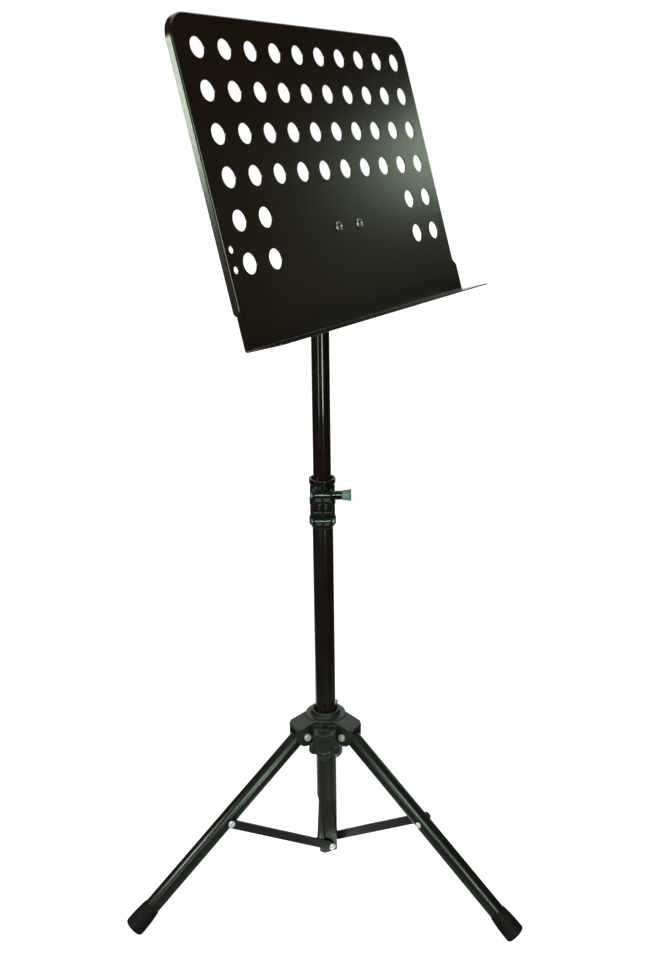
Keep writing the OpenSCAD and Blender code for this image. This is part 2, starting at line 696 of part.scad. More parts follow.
// ---------- braces ----------
module brace(k) {
    color([0.04, 0.04, 0.04]) at_brace(k) difference() {
        union() {
            translate([0, strap_in, -brace_w/2]) cube([brace_len, brace_t, brace_w]);
            rod_y(brace_w/2, strap_in, strap_out);
            translate([brace_len, 0, 0]) rod_y(brace_w/2, strap_in, strap_out);
        }
        rod_y(rivet_r + fit_run, 0, 30);
        translate([brace_len, 0, 0]) rod_y(rivet_r + fit_seat, 0, 30);
    }
}
module brace_cap(k) {
    color([0.75, 0.76, 0.76]) at_brace(k) translate([brace_len, 0, 0]) {
        rod_y(rivet_r, strap_in + 0.2, strap_out + 0.5);
        translate([0, strap_out, 0]) rotate([-90, 0, 0])
            cylinder(r1 = rivet_head_r, r2 = rivet_head_r - 1.9, h = 1.9, $fn = q);
    }
}

desk_panel();
desk_screws();
desk_nuts();
desk_bracket();
tilt_bolt();
tilt_knob();
tilt_head();
upper_tube();
mast_bush();
clamp_collar();
clamp_screw();
clamp_nuts();
clamp_stud();
clamp_knob();
lower_tube();
base_plug();
base_rivets();
hub();
hub_bolts();
hub_nuts();
lock_nut();
lock_stud();
lock_knob();
leg(0);  // leg_front
leg(1);  // leg_left
leg(2);  // leg_right
leg_rivet(0);  // leg_rivet_front
leg_rivet(1);  // leg_rivet_left
leg_rivet(2);  // leg_rivet_right
foot(0);  // foot_front
foot(1);  // foot_left
foot(2);  // foot_right
brace(0);  // brace_front
brace(1);  // brace_left
brace(2);  // brace_right
brace_cap(0);  // brace_cap_front
brace_cap(1);  // brace_cap_left
brace_cap(2);  // brace_cap_right
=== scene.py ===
"""Dressed model of a folding music stand, built around its packed construction model.

Every sub-assembly is a class that holds its sizes in millimetres and builds its
own meshes; every finish is a frozen dataclass that builds one node material.
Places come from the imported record's joints and mounts and from the node boxes.
"""

import json
import logging
import math
from dataclasses import dataclass, field
from enum import Enum
from typing import Callable, Dict, List, Sequence, Tuple

import bmesh
import bpy
from mathutils import Matrix, Vector


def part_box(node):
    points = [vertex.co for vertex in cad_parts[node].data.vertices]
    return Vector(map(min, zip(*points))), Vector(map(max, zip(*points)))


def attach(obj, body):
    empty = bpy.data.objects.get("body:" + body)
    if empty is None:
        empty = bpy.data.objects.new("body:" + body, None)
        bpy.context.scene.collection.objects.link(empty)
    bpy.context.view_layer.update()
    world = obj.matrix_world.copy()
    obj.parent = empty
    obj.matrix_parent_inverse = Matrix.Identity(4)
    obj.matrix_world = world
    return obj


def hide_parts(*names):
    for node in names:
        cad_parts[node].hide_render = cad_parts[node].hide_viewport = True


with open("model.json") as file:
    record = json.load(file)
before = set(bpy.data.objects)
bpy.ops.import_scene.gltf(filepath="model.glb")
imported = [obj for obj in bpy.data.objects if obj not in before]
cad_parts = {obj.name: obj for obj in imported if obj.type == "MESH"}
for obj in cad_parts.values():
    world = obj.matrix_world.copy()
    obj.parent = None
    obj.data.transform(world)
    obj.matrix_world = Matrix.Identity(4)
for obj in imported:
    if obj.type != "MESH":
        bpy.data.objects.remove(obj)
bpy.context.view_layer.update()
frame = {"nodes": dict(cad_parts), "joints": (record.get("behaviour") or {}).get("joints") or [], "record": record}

MM = 0.001
FIT = 0.05  # room round a pin in its hole, mm
NEAR = 2e-5  # how far a coordinate may be from a named place, m
MERGE = 1e-6  # how close two points count as one, m
ALONG = 0.9  # how much of a direction must lie along an axis
Station = Tuple[float, float]
Colour = Tuple[float, float, float]
PLAIN: Colour = (1.0, 1.0, 1.0)
GREENISH: Colour = (0.8, 1.0, 0.86)  # cast of the gloss on black paint and plastic
log = logging.getLogger("music_stand")


class Leg(Enum):
    """The three legs, by the azimuth at which each stands out from the mast."""

    FRONT = 270.0
    LEFT = 150.0
    RIGHT = 30.0

    @property
    def label(self) -> str:
        """Name ending shared by the leg's nodes and bodies."""
        return self.name.lower()


class Slot(Enum):
    """Material slots of the record."""

    DESK = "desk_coat"
    MAST_GLOSS = "mast_gloss"
    MAST_SATIN = "mast_satin"
    LEG = "leg_satin"
    STRAP = "strap_black"
    MOULDED = "moulded_black"
    CLAMP = "clamp_black"
    NECK = "neck_black"
    KNOB = "knob_grey"
    ZINC = "bright_zinc"
    YELLOW = "yellow_zinc"
    BLACK_ZINC = "black_zinc"
    # dull teal plating of the clamp's fasteners, made darker as painted shade of the clamp's windows
    DULL_ZINC = "dull_zinc"
    RUBBER = "foot_rubber"
    NYLON = "guide_nylon"

    @property
    def recorded(self) -> str:
        """Name of the record's slot; close finishes share one."""
        shared = {Slot.BLACK_ZINC: Slot.ZINC, Slot.DULL_ZINC: Slot.ZINC, Slot.NECK: Slot.CLAMP}
        return shared.get(self, self).value


class Axis(Enum):
    """The three axes, by their place in a vector."""

    X = 0
    Y = 1
    Z = 2


class Element(Enum):
    """What is picked and bevelled in edit mode."""

    VERTICES = "verts"
    EDGES = "edges"
    FACES = "faces"


class Boolean(Enum):
    """How a tool shape is combined with an object."""

    UNION = "fuse"
    DIFFERENCE = "cut"
    INTERSECT = "keep what both fill"


# ---------------------------------------------------------------- places


def turn(degrees: float, axis: Axis) -> Matrix:
    """Rotation about one axis.

    Args:
        degrees: angle in degrees.
        axis: the axis.

    Returns:
        A 4x4 matrix.
    """
    return Matrix.Rotation(math.radians(degrees), 4, axis.name)


def shift(x: float, y: float, z: float) -> Matrix:
    """Translation by millimetres.

    Args:
        x: shift along X.
        y: shift along Y.
        z: shift along Z.

    Returns:
        A 4x4 matrix in metres.
    """
    return Matrix.Translation(Vector((x, y, z)) * MM)


def joint(name: str) -> Dict:
    """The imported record's joint of that name."""
    return next(j for j in frame["joints"] if j["name"] == name)


@dataclass(frozen=True)
class Places:
    """Where each sub-assembly's own frame sits in the row frame."""

    desk: Matrix
    tilt: Matrix
    clamp: Matrix
    lock: Matrix
    pivot_z: float
    brace_z: float
    tilt_z: float

    @classmethod
    def from_record(cls, tilt_back: float, tilt_up: float) -> "Places":
        """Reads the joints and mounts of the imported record.

        Args:
            tilt_back: distance of the tilt axis behind the desk face, mm.
            tilt_up: height of the tilt axis above the desk's foot, mm.

        Returns:
            The places, with heights in millimetres.
        """
        mount = next(m for m in frame["record"]["mounts"] if m["name"] == "desk_face")
        lean = math.degrees(math.asin(mount["axis"][2]))
        tilt_z = joint("desk_tilt")["pos_m"][2] / MM
        pivot_z = joint("leg_left_fold")["pos_m"][2] / MM
        brace_z = joint("brace_left_fold")["pos_m"][2] / MM
        lock = joint("hub_lock_turn")
        clamp = joint("height_clamp_turn")
        lock_az = math.degrees(math.atan2(lock["axis"][1], lock["axis"][0]))
        clamp_az = math.degrees(math.atan2(clamp["axis"][1], clamp["axis"][0]))
        desk = shift(0, 0, tilt_z) @ turn(-lean, Axis.X) @ shift(0, -tilt_back, -tilt_up)
        return cls(
            desk=desk,
            tilt=shift(0, 0, tilt_z),
            clamp=turn(clamp_az, Axis.Z),
            lock=turn(lock_az, Axis.Z) @ shift(0, 0, lock["pos_m"][2] / MM),
            pivot_z=pivot_z,
            brace_z=brace_z,
            tilt_z=tilt_z,
        )


# ---------------------------------------------------------------- workbench


class Bench:
    """Modelling tools that work on one object at a time."""

    @staticmethod
    def rest() -> None:
        """Leaves edit mode and deselects everything."""
        if bpy.context.object is not None and bpy.context.object.mode != "OBJECT":
            bpy.ops.object.mode_set(mode="OBJECT")
        bpy.ops.object.select_all(action="DESELECT")

    @staticmethod
    def take(*objs: bpy.types.Object) -> None:
        """Selects these objects alone and makes the first one active."""
        Bench.rest()
        for obj in objs:
            obj.select_set(True)
        bpy.context.view_layer.objects.active = objs[0]

    @staticmethod
    def edit(obj: bpy.types.Object) -> None:
        """Opens one object in edit mode with nothing selected."""
        Bench.take(obj)
        bpy.ops.object.mode_set(mode="EDIT")
        bpy.ops.mesh.select_all(action="DESELECT")

    @staticmethod
    def named(name: str) -> bpy.types.Object:
        """Names the new active object and applies its transform.

        Args:
            name: name for the object and its mesh.

        Returns:
            The object.
        """
        obj = bpy.context.object
        obj.name = name
        obj.data.name = name
        bpy.ops.object.transform_apply(location=True, rotation=True, scale=True)
        return obj

    @staticmethod
    def turned(name: str, stations: Sequence[Station], vertices: int = 64) -> bpy.types.Object:
        """Turns a solid about Z: a first frustum, then its end drawn out station by station.

        Args:
            name: name of the piece.
            stations: (z, radius) pairs in mm, the first two with different z.
            vertices: sides of the round.

        Returns:
            The closed solid.
        """
        Bench.rest()
        (z0, r0), (z1, r1) = stations[0], stations[1]
        bpy.ops.mesh.primitive_cone_add(
            vertices=vertices,
            radius1=r0 * MM,
            radius2=r1 * MM,
            depth=(z1 - z0) * MM,
            location=(0, 0, (z0 + z1) / 2 * MM),
        )
        obj = Bench.named(name)
        if len(stations) > 2:
            Bench.edit(obj)
            Bench.pick(
                obj,
                Element.FACES,
                lambda f: f.normal.z > 0.99 and abs(f.calc_center_median().z - z1 * MM) < MERGE,
            )
            for (za, ra), (zb, rb) in zip(stations[1:], stations[2:]):
                Bench.draw_out(z=zb - za)
                scale = rb / ra
                bpy.ops.transform.resize(value=(scale, scale, 1), center_override=(0, 0, zb * MM))
            Bench.rest()
        return obj

    @staticmethod
    def block(name: str, low: Sequence[float], high: Sequence[float]) -> bpy.types.Object:
        """A box from its lowest to its highest corner, in mm."""
        Bench.rest()
        centre = [(a + b) / 2 * MM for a, b in zip(low, high)]
        bpy.ops.mesh.primitive_cube_add(size=1, location=centre)
        bpy.context.object.scale = [(b - a) * MM for a, b in zip(low, high)]
        return Bench.named(name)

    @staticmethod
    def hexagon(name: str, flats: float, z0: float, z1: float, chamfer: float = 0.5) -> bpy.types.Object:
        """A hexagonal bar along Z with its top corners turned off.

        Args:
            name: name of the piece.
            flats: width across flats, mm.
            z0: lower end, mm.
            z1: upper end, mm.
            chamfer: height of the turned corner, mm.

        Returns:
            The closed solid.
        """
        radius = flats / math.sqrt(3)
        bar = Bench.turned(name, [(z0, radius), (z1, radius)], vertices=6)
        cone = Bench.turned(
            name + "_turning",
            [(z0 - 1, radius + 0.4), (z1 - chamfer, radius + 0.02), (z1 + 0.01, radius - chamfer * 1.6)],
            vertices=48,
        )
        Bench.combine(bar, cone, Boolean.INTERSECT)
        return bar

    @staticmethod
    def pick(obj: bpy.types.Object, kind: Element, test: Callable[[object], bool]) -> None:
        """Selects the elements that pass a test, in edit mode.

        Args:
            obj: the object in edit mode.
            kind: which elements are tested.
            test: says whether an element is taken.
        """
        bpy.context.tool_settings.mesh_select_mode = [kind is one for one in Element]
        mesh = bmesh.from_edit_mesh(obj.data)
        mesh.normal_update()
        chosen = [item for item in getattr(mesh, kind.value) if test(item)]
        for part in (mesh.verts, mesh.edges, mesh.faces):
            for item in part:
                item.select = False
        for item in chosen:
            item.select_set(True)
        bmesh.update_edit_mesh(obj.data)

    @staticmethod
    def runs_along(edge: bmesh.types.BMEdge, axis: Axis) -> bool:
        """Whether an edge runs along an axis."""
        way = (edge.verts[0].co - edge.verts[1].co).normalized()
        return abs(way[axis.value]) > ALONG

    @staticmethod
    def azimuth(face: bmesh.types.BMFace) -> float:
        """Azimuth of a face's centre, 0 to 360 degrees."""
        centre = face.calc_center_median()
        return math.degrees(math.atan2(centre.y, centre.x)) % 360

    @staticmethod
    def draw_out(x: float = 0, y: float = 0, z: float = 0) -> None:
        """Extrudes the selection by millimetres."""
        bpy.ops.mesh.extrude_region_move(TRANSFORM_OT_translate={"value": (x * MM, y * MM, z * MM)})

    @staticmethod
    def round_off(width: float, steps: int, kind: Element = Element.EDGES, profile: float = 0.5) -> None:
        """Bevels the selection.

        Args:
            width: width of the bevel, mm.
            steps: its segments.
            kind: whether edges or corners are rounded.
            profile: how full the rounding is.
        """
        bpy.ops.mesh.bevel(
            offset=width * MM, offset_type="OFFSET", segments=steps, profile=profile, affect=kind.name
        )

    @staticmethod
    def apply(obj: bpy.types.Object, kind: str, **settings: object) -> None:
        """Adds a modifier and applies it at once.

        Args:
            obj: the object.
            kind: Blender's modifier type.
            settings: the modifier's settings.
        """
        Bench.take(obj)
        modifier = obj.modifiers.new(kind.lower(), kind)
        for key, value in settings.items():
            setattr(modifier, key, value)
        bpy.ops.object.modifier_apply(modifier=modifier.name)

    @staticmethod
    def combine(obj: bpy.types.Object, tool: bpy.types.Object, how: Boolean) -> None:
        """Combines a tool shape with an object and throws the tool away.

        Args:
            obj: the object that is kept.
            tool: the other solid.
            how: what is done with it.
        """
        Bench.apply(obj, "BOOLEAN", operation=how.name, object=tool, solver="EXACT")
        bpy.data.objects.remove(tool)

    @staticmethod
    def fuse(obj: bpy.types.Object, *tools: bpy.types.Object) -> bpy.types.Object:
        """Fuses the tools into the object."""
        for tool in tools:
            Bench.combine(obj, tool, Boolean.UNION)
        return obj

    @staticmethod
    def cut(obj: bpy.types.Object, *tools: bpy.types.Object) -> bpy.types.Object:
        """Cuts the tools out of the object."""
        for tool in tools:
            Bench.combine(obj, tool, Boolean.DIFFERENCE)
        return obj

    @staticmethod
    def trim(obj: bpy.types.Object, point: Sequence[float], outward: Vector) -> bpy.types.Object:
        """Cuts away and closes what lies beyond a plane.

        Args:
            obj: the solid.
            point: a point of the plane, mm.
            outward: the direction that is cut away.

        Returns:
            The solid.
        """
        Bench.edit(obj)
        bpy.ops.mesh.select_all(action="SELECT")
        bpy.ops.mesh.bisect(plane_co=Vector(point) * MM, plane_no=outward, use_fill=True, clear_outer=True)
        Bench.rest()
        return obj

    @staticmethod
    def soft_edges(
        obj: bpy.types.Object,
        width: float,
        segments: int = 2,
        angle: float = 35,
    ) -> bpy.types.Object:
        """Rounds the sharp edges.

        Args:
            obj: the object.
            width: width of the rounding, mm.
            segments: steps of the rounding.
            angle: edges sharper than this are rounded, degrees.

        Returns:
            The object.
        """
        Bench.apply(
            obj,
            "BEVEL",
            width=width * MM,
            segments=segments,
            limit_method="ANGLE",
            angle_limit=math.radians(angle),
            miter_outer="MITER_ARC",
        )
        return obj

    @staticmethod
    def moulded(obj: bpy.types.Object, voxel: float, rounds: int = 4, keep: float = 1.0) -> bpy.types.Object:
        """Gives a fused shape the soft edges of a moulding.

        Args:
            obj: the object.
            voxel: size of the even mesh laid over it, mm.
            rounds: smoothing passes.
            keep: share of the triangles that is kept.

        Returns:
            The object.
        """
        Bench.apply(obj, "REMESH", mode="VOXEL", voxel_size=voxel * MM, adaptivity=0.0)
        Bench.apply(obj, "SMOOTH", factor=0.5, iterations=rounds)
        if keep < 1:
            Bench.apply(obj, "DECIMATE", ratio=keep)
        return obj

    @staticmethod
    def copy(obj: bpy.types.Object, name: str) -> bpy.types.Object:
        """A copy with its own mesh."""
        twin = obj.copy()
        twin.data = obj.data.copy()
        twin.name = name
        twin.data.name = name
        bpy.context.scene.collection.objects.link(twin)
        return twin

    @staticmethod
    def join(objs: Sequence[bpy.types.Object], name: str) -> bpy.types.Object:
        """Joins objects into the first one."""
        Bench.take(*objs)
        bpy.ops.object.join()
        objs[0].name = name
        objs[0].data.name = name
        return objs[0]

    @staticmethod
    def placed(obj: bpy.types.Object, place: Matrix) -> bpy.types.Object:
        """Moves the mesh itself to its place and leaves the object at the origin."""
        Bench.take(obj)
        obj.matrix_world = place
        bpy.ops.object.transform_apply(location=True, rotation=True, scale=True)
        return obj

    @staticmethod
    def smooth(obj: bpy.types.Object, angle: float = 32, level: bool = False) -> None:
        """Shades smooth up to an angle, and keeps large flat faces flat.

        Args:
            obj: the object.
            angle: edges sharper than this stay sharp, degrees.
            level: whether large faces lead the normals.
        """
        Bench.take(obj)
        bpy.ops.object.shade_smooth_by_angle(angle=math.radians(angle))
        if level:
            Bench.apply(obj, "WEIGHTED_NORMAL", mode="FACE_AREA", weight=100, keep_sharp=True)


TO_X = turn(90, Axis.Y)
TO_MINUS_X = turn(-90, Axis.Y)
TO_Y = turn(-90, Axis.X)
TO_MINUS_Y = turn(90, Axis.X)


def rod(
    name: str,
    radius: float,
    z0: float,
    z1: float,
    place: Matrix,
    vertices: int = 48,
) -> bpy.types.Object:
    """A plain round tool or pin, put in place.

    Args:
        name: name of the piece.
        radius: radius, mm.
        z0: lower end along its own axis, mm.
        z1: upper end along its own axis, mm.
        place: where its own frame sits.
        vertices: sides of the round.

    Returns:
        The solid.
    """
    return Bench.placed(Bench.turned(name, [(z0, radius), (z1, radius)], vertices=vertices), place)


def arc(z: float, r_from: float, r_to: float, rise: float, steps: int = 6) -> List[Station]:
    """Stations of a rounded end.

    Args:
        z: height where the rounding starts, mm.
        r_from: radius there, mm.
        r_to: radius at the top, mm.
        rise: height of the rounding, mm.
        steps: number of stations.

    Returns:
        (z, radius) pairs along a quarter ellipse.
    """
    out = []
    for i in range(1, steps + 1):
        a = math.pi / 2 * i / steps
        out.append((z + rise * math.sin(a), r_to + (r_from - r_to) * math.cos(a)))
    return out


# ---------------------------------------------------------------- finishes


class Graph:
    """The node tree of a material or of the world, built node by node."""

    def __init__(self, owner: bpy.types.ID) -> None:
        """Starts an empty tree.

        Args:
            owner: the material or the world.
        """
        owner.use_nodes = True
        self.tree = owner.node_tree
        self.tree.nodes.clear()

    def node(self, kind: str, **settings: object) -> bpy.types.Node:
        """Adds a node with its settings."""
        made = self.tree.nodes.new(kind)
        for key, value in settings.items():
            setattr(made, key, value)
        return made

    def link(self, source: bpy.types.NodeSocket, target: bpy.types.NodeSocket) -> None:
        """Joins two sockets."""
        self.tree.links.new(source, target)

    @staticmethod
    def fill(node: bpy.types.Node, **values: object) -> None:
        """Sets plain values on a node's sockets, named with _ for a space."""
        for key, value in values.items():
            node.inputs[key.replace("_", " ")].default_value = value

    def seen(self) -> bpy.types.NodeSocket:
        """1 for what the camera, gloss and clear material see, 0 for soft light."""
        path = self.node("ShaderNodeLightPath")
        first = self.node("ShaderNodeMath", operation="MAXIMUM")
        second = self.node("ShaderNodeMath", operation="MAXIMUM")
        self.link(path.outputs["Is Camera Ray"], first.inputs[0])
        self.link(path.outputs["Is Glossy Ray"], first.inputs[1])
        self.link(first.outputs[0], second.inputs[0])
        self.link(path.outputs["Is Transmission Ray"], second.inputs[1])
        return second.outputs[0]


class Recipe(Graph):
    """Builds one surface material step by step."""

    FACTOR, UNDER, OVER, MIXED = 0, 6, 7, 2

    def __init__(self, name: str) -> None:
        """Starts a material with its shader alone.

        Args:
            name: the material's name.
        """
        self.material = bpy.data.materials.new(name)
        super().__init__(self.material)
        output = self.node("ShaderNodeOutputMaterial")
        self.shader = self.node("ShaderNodeBsdfPrincipled")
        self.link(self.shader.outputs["BSDF"], output.inputs["Surface"])
        self.coords = self.node("ShaderNodeTexCoord")

    def feed(self, socket: str, source: bpy.types.NodeSocket) -> None:
        """Leads a value or colour to one of the shader's sockets."""
        self.link(source, self.shader.inputs[socket])

    def stretched(self, scale: Sequence[float]) -> bpy.types.NodeSocket:
        """Object coordinates, stretched by a factor along each axis."""
        mapping = self.node("ShaderNodeMapping", vector_type="POINT")
        self.fill(mapping, Scale=scale)
        self.link(self.coords.outputs["Object"], mapping.inputs["Vector"])
        return mapping.outputs["Vector"]

    def noise(
        self,
        size: float,
        detail: float = 3.0,
        roughness: float = 0.55,
        vector: bpy.types.NodeSocket = None,
    ) -> bpy.types.NodeSocket:
        """Soft noise whose grain has a real size.

        Args:
            size: size of a patch, mm.
            detail: layers of finer noise.
            roughness: strength of the finer layers.
            vector: other coordinates, if not the plain object ones.

        Returns:
            The value socket.
        """
        made = self.node("ShaderNodeTexNoise")
        self.fill(made, Scale=1 / (size * MM), Detail=detail, Roughness=roughness)
        self.link(vector if vector is not None else self.coords.outputs["Object"], made.inputs["Vector"])
        return made.outputs["Fac"]

    def spread(
        self,
        value: bpy.types.NodeSocket,
        low: float,
        high: float,
        start: float = 0.3,
        end: float = 0.7,
    ) -> bpy.types.NodeSocket:
        """Maps a noise value onto a range.

        Args:
            value: the value socket.
            low: result at start.
            high: result at end.
            start: noise value that gives low.
            end: noise value that gives high.

        Returns:
            The value socket.
        """
        made = self.node("ShaderNodeMapRange")
        self.fill(made, From_Min=start, From_Max=end, To_Min=low, To_Max=high)
        self.link(value, made.inputs["Value"])
        return made.outputs["Result"]

    def blend(self, factor: bpy.types.NodeSocket, first: Colour, second: Colour) -> bpy.types.NodeSocket:
        """Mixes two colours by a factor socket."""
        made = self.node("ShaderNodeMix", data_type="RGBA")
        made.inputs[self.UNDER].default_value = (*first, 1)
        made.inputs[self.OVER].default_value = (*second, 1)
        self.link(factor, made.inputs[self.FACTOR])
        return made.outputs[self.MIXED]

    def layered(
        self,
        factor: bpy.types.NodeSocket,
        under: bpy.types.NodeSocket,
        over: Colour,
    ) -> bpy.types.NodeSocket:
        """Lays a colour over a colour socket by a factor socket."""
        made = self.node("ShaderNodeMix", data_type="RGBA")
        self.link(factor, made.inputs[self.FACTOR])
        self.link(under, made.inputs[self.UNDER])
        made.inputs[self.OVER].default_value = (*over, 1)
        return made.outputs[self.MIXED]

    def bump(
        self,
        value: bpy.types.NodeSocket,
        height: float,
        strength: float = 1.0,
        under: bpy.types.NodeSocket = None,
    ) -> bpy.types.NodeSocket:
        """Surface relief.

        Args:
            value: height value socket.
            height: height of the relief, mm.
            strength: share of the relief that shows.
            under: a relief that lies under this one.

        Returns:
            The normal socket.
        """
        made = self.node("ShaderNodeBump")
        self.fill(made, Strength=strength, Distance=height * MM)
        self.link(value, made.inputs["Height"])
        if under is not None:
            self.link(under, made.inputs["Normal"])
        return made.outputs["Normal"]


@dataclass(frozen=True)
class Finish:
    """A finish: a colour with its variation, a gloss and a relief."""

    slot: Slot
    colour: Colour
    shade: Colour
    rough: Tuple[float, float]
    specular: float = 0.5
    tint: Colour = PLAIN

    @property
    def name(self) -> str:
        """Name of the material."""
        return self.slot.value

    def start(self) -> Recipe:
        """A recipe with this finish's plain values."""
        recipe = Recipe(self.name)
        recipe.fill(recipe.shader, Specular_IOR_Level=self.specular, Specular_Tint=(*self.tint, 1))
        return recipe

    def make(self) -> bpy.types.Material:
        """Builds the material, each kind of finish in its own way."""
        raise NotImplementedError


@dataclass(frozen=True)
class PowderCoat(Finish):
    """Baked powder: fine orange peel, tiny pits and slow drifts in tone."""

    peel: float = 0.9
    grain: float = 0.35
    relief: float = 0.03

    def make(self) -> bpy.types.Material:
        """Builds the material."""
        recipe = self.start()
        drift = recipe.spread(recipe.noise(85, detail=2), 0, 1, start=0.35, end=0.65)
        tone = recipe.blend(drift, self.colour, self.shade)
        speck = recipe.spread(
            recipe.noise(self.grain, detail=2, roughness=0.7), 0, 0.45, start=0.56, end=0.74
        )
        lighter = tuple(min(1.0, c * 2.2 + 0.006) for c in self.shade)
        recipe.feed("Base Color", recipe.layered(speck, tone, lighter))
        rough = recipe.spread(recipe.noise(4.5, detail=4, roughness=0.6), *self.rough)
        recipe.feed("Roughness", rough)
        peel = recipe.bump(recipe.noise(self.peel, detail=2, roughness=0.5), height=self.relief, strength=0.5)
        recipe.feed(
            "Normal",
            recipe.bump(
                recipe.noise(self.grain, detail=2, roughness=0.6),
                height=self.relief * 0.6,
                strength=0.6,
                under=peel,
            ),
        )
        return recipe.material


@dataclass(frozen=True)
class TubePaint(Finish):
    """Painted tube: long faint drawing marks under the coat, rubbed patches along its length."""

    tint: Colour = GREENISH
    peel: float = 1.6
    marks: float = 0.35

    def make(self) -> bpy.types.Material:
        """Builds the material."""
        recipe = self.start()
        drift = recipe.spread(recipe.noise(60, detail=3), 0, 1, start=0.35, end=0.65)
        recipe.feed("Base Color", recipe.blend(drift, self.colour, self.shade))
        marks = recipe.noise(1.0, detail=3, roughness=0.6, vector=recipe.stretched((1.0, 1.0, 0.02)))
        patches = recipe.spread(recipe.noise(18, detail=4, roughness=0.6), 0, 1)
        total = recipe.node("ShaderNodeMath", operation="MULTIPLY_ADD")
        recipe.link(marks, total.inputs[0])
        total.inputs[1].default_value = self.marks
        recipe.link(patches, total.inputs[2])
        recipe.feed("Roughness", recipe.spread(total.outputs[0], *self.rough, start=0.1, end=1.1))
        peel = recipe.bump(recipe.noise(self.peel, detail=2, roughness=0.5), height=0.02, strength=0.08)
        recipe.feed("Normal", peel)
        return recipe.material


@dataclass(frozen=True)
class Moulded(Finish):
    """Moulded plastic: etched grain, flow marks, paler edges that are part wear, part painted highlight."""

    tint: Colour = GREENISH
    grain: float = 0.45
    relief: float = 0.04
    # paler colour on sharp convex edges: partly wear, partly a painted highlight along the edges
    wear_and_highlight: Colour = (0.1, 0.12, 0.105)

    def make(self) -> bpy.types.Material:
        """Builds the material."""
        recipe = self.start()
        flow = recipe.spread(recipe.noise(14, detail=3, roughness=0.5), 0, 1, start=0.35, end=0.65)
        tone = recipe.blend(flow, self.colour, self.shade)
        # sharp edges, found by pointiness, get the paler colour: painted edge highlight as well as wear
        edges = recipe.node("ShaderNodeNewGeometry").outputs["Pointiness"]
        wear_and_highlight_mask = recipe.spread(edges, 0, 0.7, start=0.52, end=0.59)
        recipe.feed("Base Color", recipe.layered(wear_and_highlight_mask, tone, self.wear_and_highlight))
        recipe.feed("Roughness", recipe.spread(recipe.noise(3.5, detail=3), *self.rough))
        grain = recipe.bump(
            recipe.noise(self.grain, detail=3, roughness=0.65), height=self.relief, strength=0.7
        )
        recipe.feed("Normal", grain)
        return recipe.material


@dataclass(frozen=True)
class Plated(Finish):
    """Plated steel: cloudy plating with fine turning marks."""

    cloud: float = 2.5
    metal: float = 1.0

    def make(self) -> bpy.types.Material:
        """Builds the material."""
        recipe = self.start()
        recipe.fill(recipe.shader, Metallic=self.metal)
        cloud = recipe.spread(recipe.noise(self.cloud, detail=3, roughness=0.6), 0, 1, start=0.35, end=0.65)
        recipe.feed("Base Color", recipe.blend(cloud, self.colour, self.shade))
        recipe.feed("Roughness", recipe.spread(recipe.noise(0.6, detail=3, roughness=0.6), *self.rough))
        marks = recipe.bump(recipe.noise(0.25, detail=2, roughness=0.5), height=0.01, strength=0.4)
        recipe.feed("Normal", marks)
        return recipe.material


@dataclass(frozen=True)
class Rubber(Finish):
    """Moulded rubber: dull, with a dusty bloom and a sandy relief."""

    bloom: Colour = (0.016, 0.014, 0.012)

    def make(self) -> bpy.types.Material:
        """Builds the material."""
        recipe = self.start()
        patches = recipe.spread(recipe.noise(9, detail=4, roughness=0.65), 0, 1, start=0.4, end=0.7)
        tone = recipe.blend(patches, self.colour, self.shade)
        dust = recipe.spread(recipe.noise(1.4, detail=4, roughness=0.7), 0, 0.5, start=0.5, end=0.72)
        recipe.feed("Base Color", recipe.layered(dust, tone, self.bloom))
        recipe.feed("Roughness", recipe.spread(recipe.noise(3, detail=3), *self.rough))
        sand = recipe.bump(recipe.noise(0.5, detail=3, roughness=0.7), height=0.05, strength=0.6)
        recipe.feed("Normal", sand)
        return recipe.material


